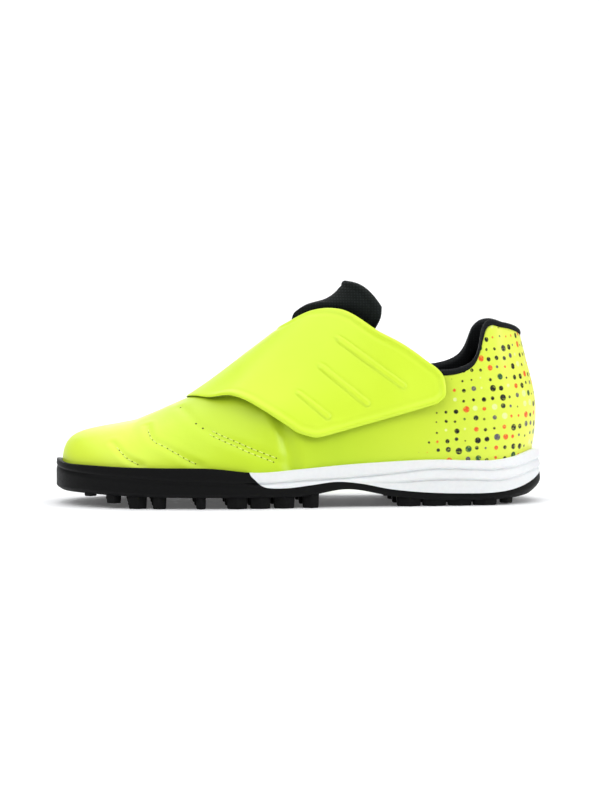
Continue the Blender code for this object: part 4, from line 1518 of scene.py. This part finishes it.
# %% Lugs
# at: hundredths of the length. count: lugs in the row. foot: height of their feet, mm. length: mm.
LUG_ROWS = table(
    "at count foot length",
    (7.0, 3, 4.8, 6.4),
    (11.6, 4, 2.2, 7.6),
    (16.3, 5, 0.0, 9.4),
    (20.6, 5, 0.0, 7.0),
    (28.8, 5, 0.0, 5.0),
    (36.0, 5, 0.0, 10.6),
    (40.6, 5, 0.0, 10.6),
    (45.4, 4, 0.0, 10.8),
    (50.8, 4, 0.0, 8.4),
    (70.8, 4, 0.0, 12.6),
    (76.0, 4, 0.0, 12.6),
    (81.2, 4, 0.0, 12.6),
    (86.4, 4, 0.0, 12.6),
    (91.0, 3, 0.6, 6.6),
)
LUG_WIDTH = 7.0 * MM
LUG_TAPER = 0.93
LUG_INSET = 0.46 * LUG_WIDTH
LUG_ROOT = 1.2 * MM
LUG_CONE = {
    "cap_ends": True,
    "segments": 6,
    "radius1": 0.5 * LUG_WIDTH * LUG_TAPER,
    "radius2": 0.5 * LUG_WIDTH,
}
LUG_BEVEL = {
    "offset": 0.45 * MM,
    "segments": 2,
    "profile": 0.5,
    "affect": "EDGES",
    "material": -1,
    "clamp_overlap": True,
}


def underside_edge(s):
    return feather(s) + outward(s) * ((at("margin", s) - at("cut_in", s)) * MM)[..., None]


def edge_at(x, side):
    """Station on one side at which the edge of the underside lies at x."""
    toe = np.array([0.0 if side < 0 else float(AROUND)])
    return solve(lambda s: underside_edge(s)[..., 0] < x, toe, np.array([float(HEEL)]))


def add_lug(bm, spot, length, depth):
    """One six-sided foot with rounded edges, its middle at the spot."""
    made = bmesh.ops.create_cone(bm, depth=depth, **LUG_CONE)["verts"]
    bmesh.ops.scale(bm, vec=(length / LUG_WIDTH, 1.0, 1.0), verts=made)
    bmesh.ops.translate(bm, vec=spot, verts=made)
    edges = list({edge for vert in made for edge in vert.link_edges})
    bmesh.ops.bevel(bm, geom=edges, **LUG_BEVEL)


for row in LUG_ROWS:
    x = float(along(row.at))
    outer, inner = (underside_edge(edge_at(x, side))[0, 1] for side in (-1, 1))
    top = float(at("bottom", edge_at(x, -1))[0]) * MM + LUG_ROOT
    foot = row.foot * MM
    for y in np.linspace(outer + LUG_INSET, inner - LUG_INSET, row.count):
        add_lug(outsole_bm, Vector((x, y, 0.5 * (top + foot))), row.length * MM, top - foot)
print("lugs:", sum(row.count for row in LUG_ROWS))

# %% [markdown]
# ## Rubber
# The outsole is carbon-black rubber from a steel mould. A flat black would look like a hole in the
# picture. The mould's spark-eroded texture spreads the highlight, and the black is never quite even.
# So a fine noise leads gloss and skin, and a slow one the tone. The grit, about 0.2 mm, is drawn
# coarser to show.

# %% Outsole
RUBBER_GRIT = 0.9 * MM
# Carbon-black rubber, compression moulded: deep black with a soft broad sheen from the eroded mould
RUBBER_SOCKETS = {"IOR": 1.52, "Specular IOR Level": 0.14}
rubber, tree, shader, place = start_material("carbon_rubber_moulded", RUBBER_SOCKETS)
grit = add(tree, "TexNoise", {"Vector": place, "Scale": 1.0 / RUBBER_GRIT, "Detail": 5.0})["Fac"]
cloud = add(tree, "TexNoise", {"Vector": place, "Scale": 1.0 / CLOUD, "Detail": 2.0})["Fac"]
dress(tree, shader, (cloud, "040405", "08090A"), (grit, 0.42, 0.66), (grit, 0.08 * MM, 0.5))
outsole = piece("outsole_tread", outsole_bm, [rubber], "outsole")
outsole.data.set_sharp_from_angle(angle=SHARP_ANGLE)

# %% [markdown]
# ## The sock inside
# On the floor of the shoe lies a thin sock of foam under dark cloth. It only shows through the
# collar, but a shoe without it would look empty from above. A copy of the outsole's top could stand
# in for it, but its own edge lies a little inside the shoe's wall and its top is slightly dished. So
# it is two sheets of rungs between the sides, joined by a low wall.

# %% Insole
INSOLE_THICK = 3.0 * MM
INSOLE_GAP = 2.5 * MM
INSOLE_DISH = 0.8 * MM
DISH_FLAT = 0.5
INSOLE_ROUND = 240
INSOLE_RISE = 4
INSOLE_ACROSS = 24
INSOLE_LENGTHWISE = 120


def insole_edge(s, up):
    return wall_point(s, at("floor", s) * MM + up, -INSOLE_GAP)


def insole_wall(u, t):
    return insole_edge(AROUND * u, INSOLE_THICK * t)


def insole_face(up, dish):
    """Shape of the sock's underside or of its dished top."""
    flat = rungs(lambda s: insole_edge(s, up))

    def shape(a, u):
        points = flat(a, u)
        points[:, 2] -= dish * (np.sin(math.pi * a) * np.sin(math.pi * u)) ** DISH_FLAT
        return points

    return shape


insole_bm = bmesh.new()
sheet(insole_bm, INSOLE_ROUND, INSOLE_RISE, insole_wall)
for up, dish in ((0.0, 0.0), (INSOLE_THICK, INSOLE_DISH)):
    sheet(insole_bm, INSOLE_ACROSS, INSOLE_LENGTHWISE, insole_face(up, dish))
close_seams(insole_bm)
# Polyester knit laminated on foam: dark grey and flat
sock_knit = knit("polyester_knit_laminated", "1B1D20", "34373B", 0.1, 0.12 * MM)
insole = piece("insole_sock", insole_bm, [sock_knit], "insole")
insole.data.set_sharp_from_angle(angle=SHARP_ANGLE)
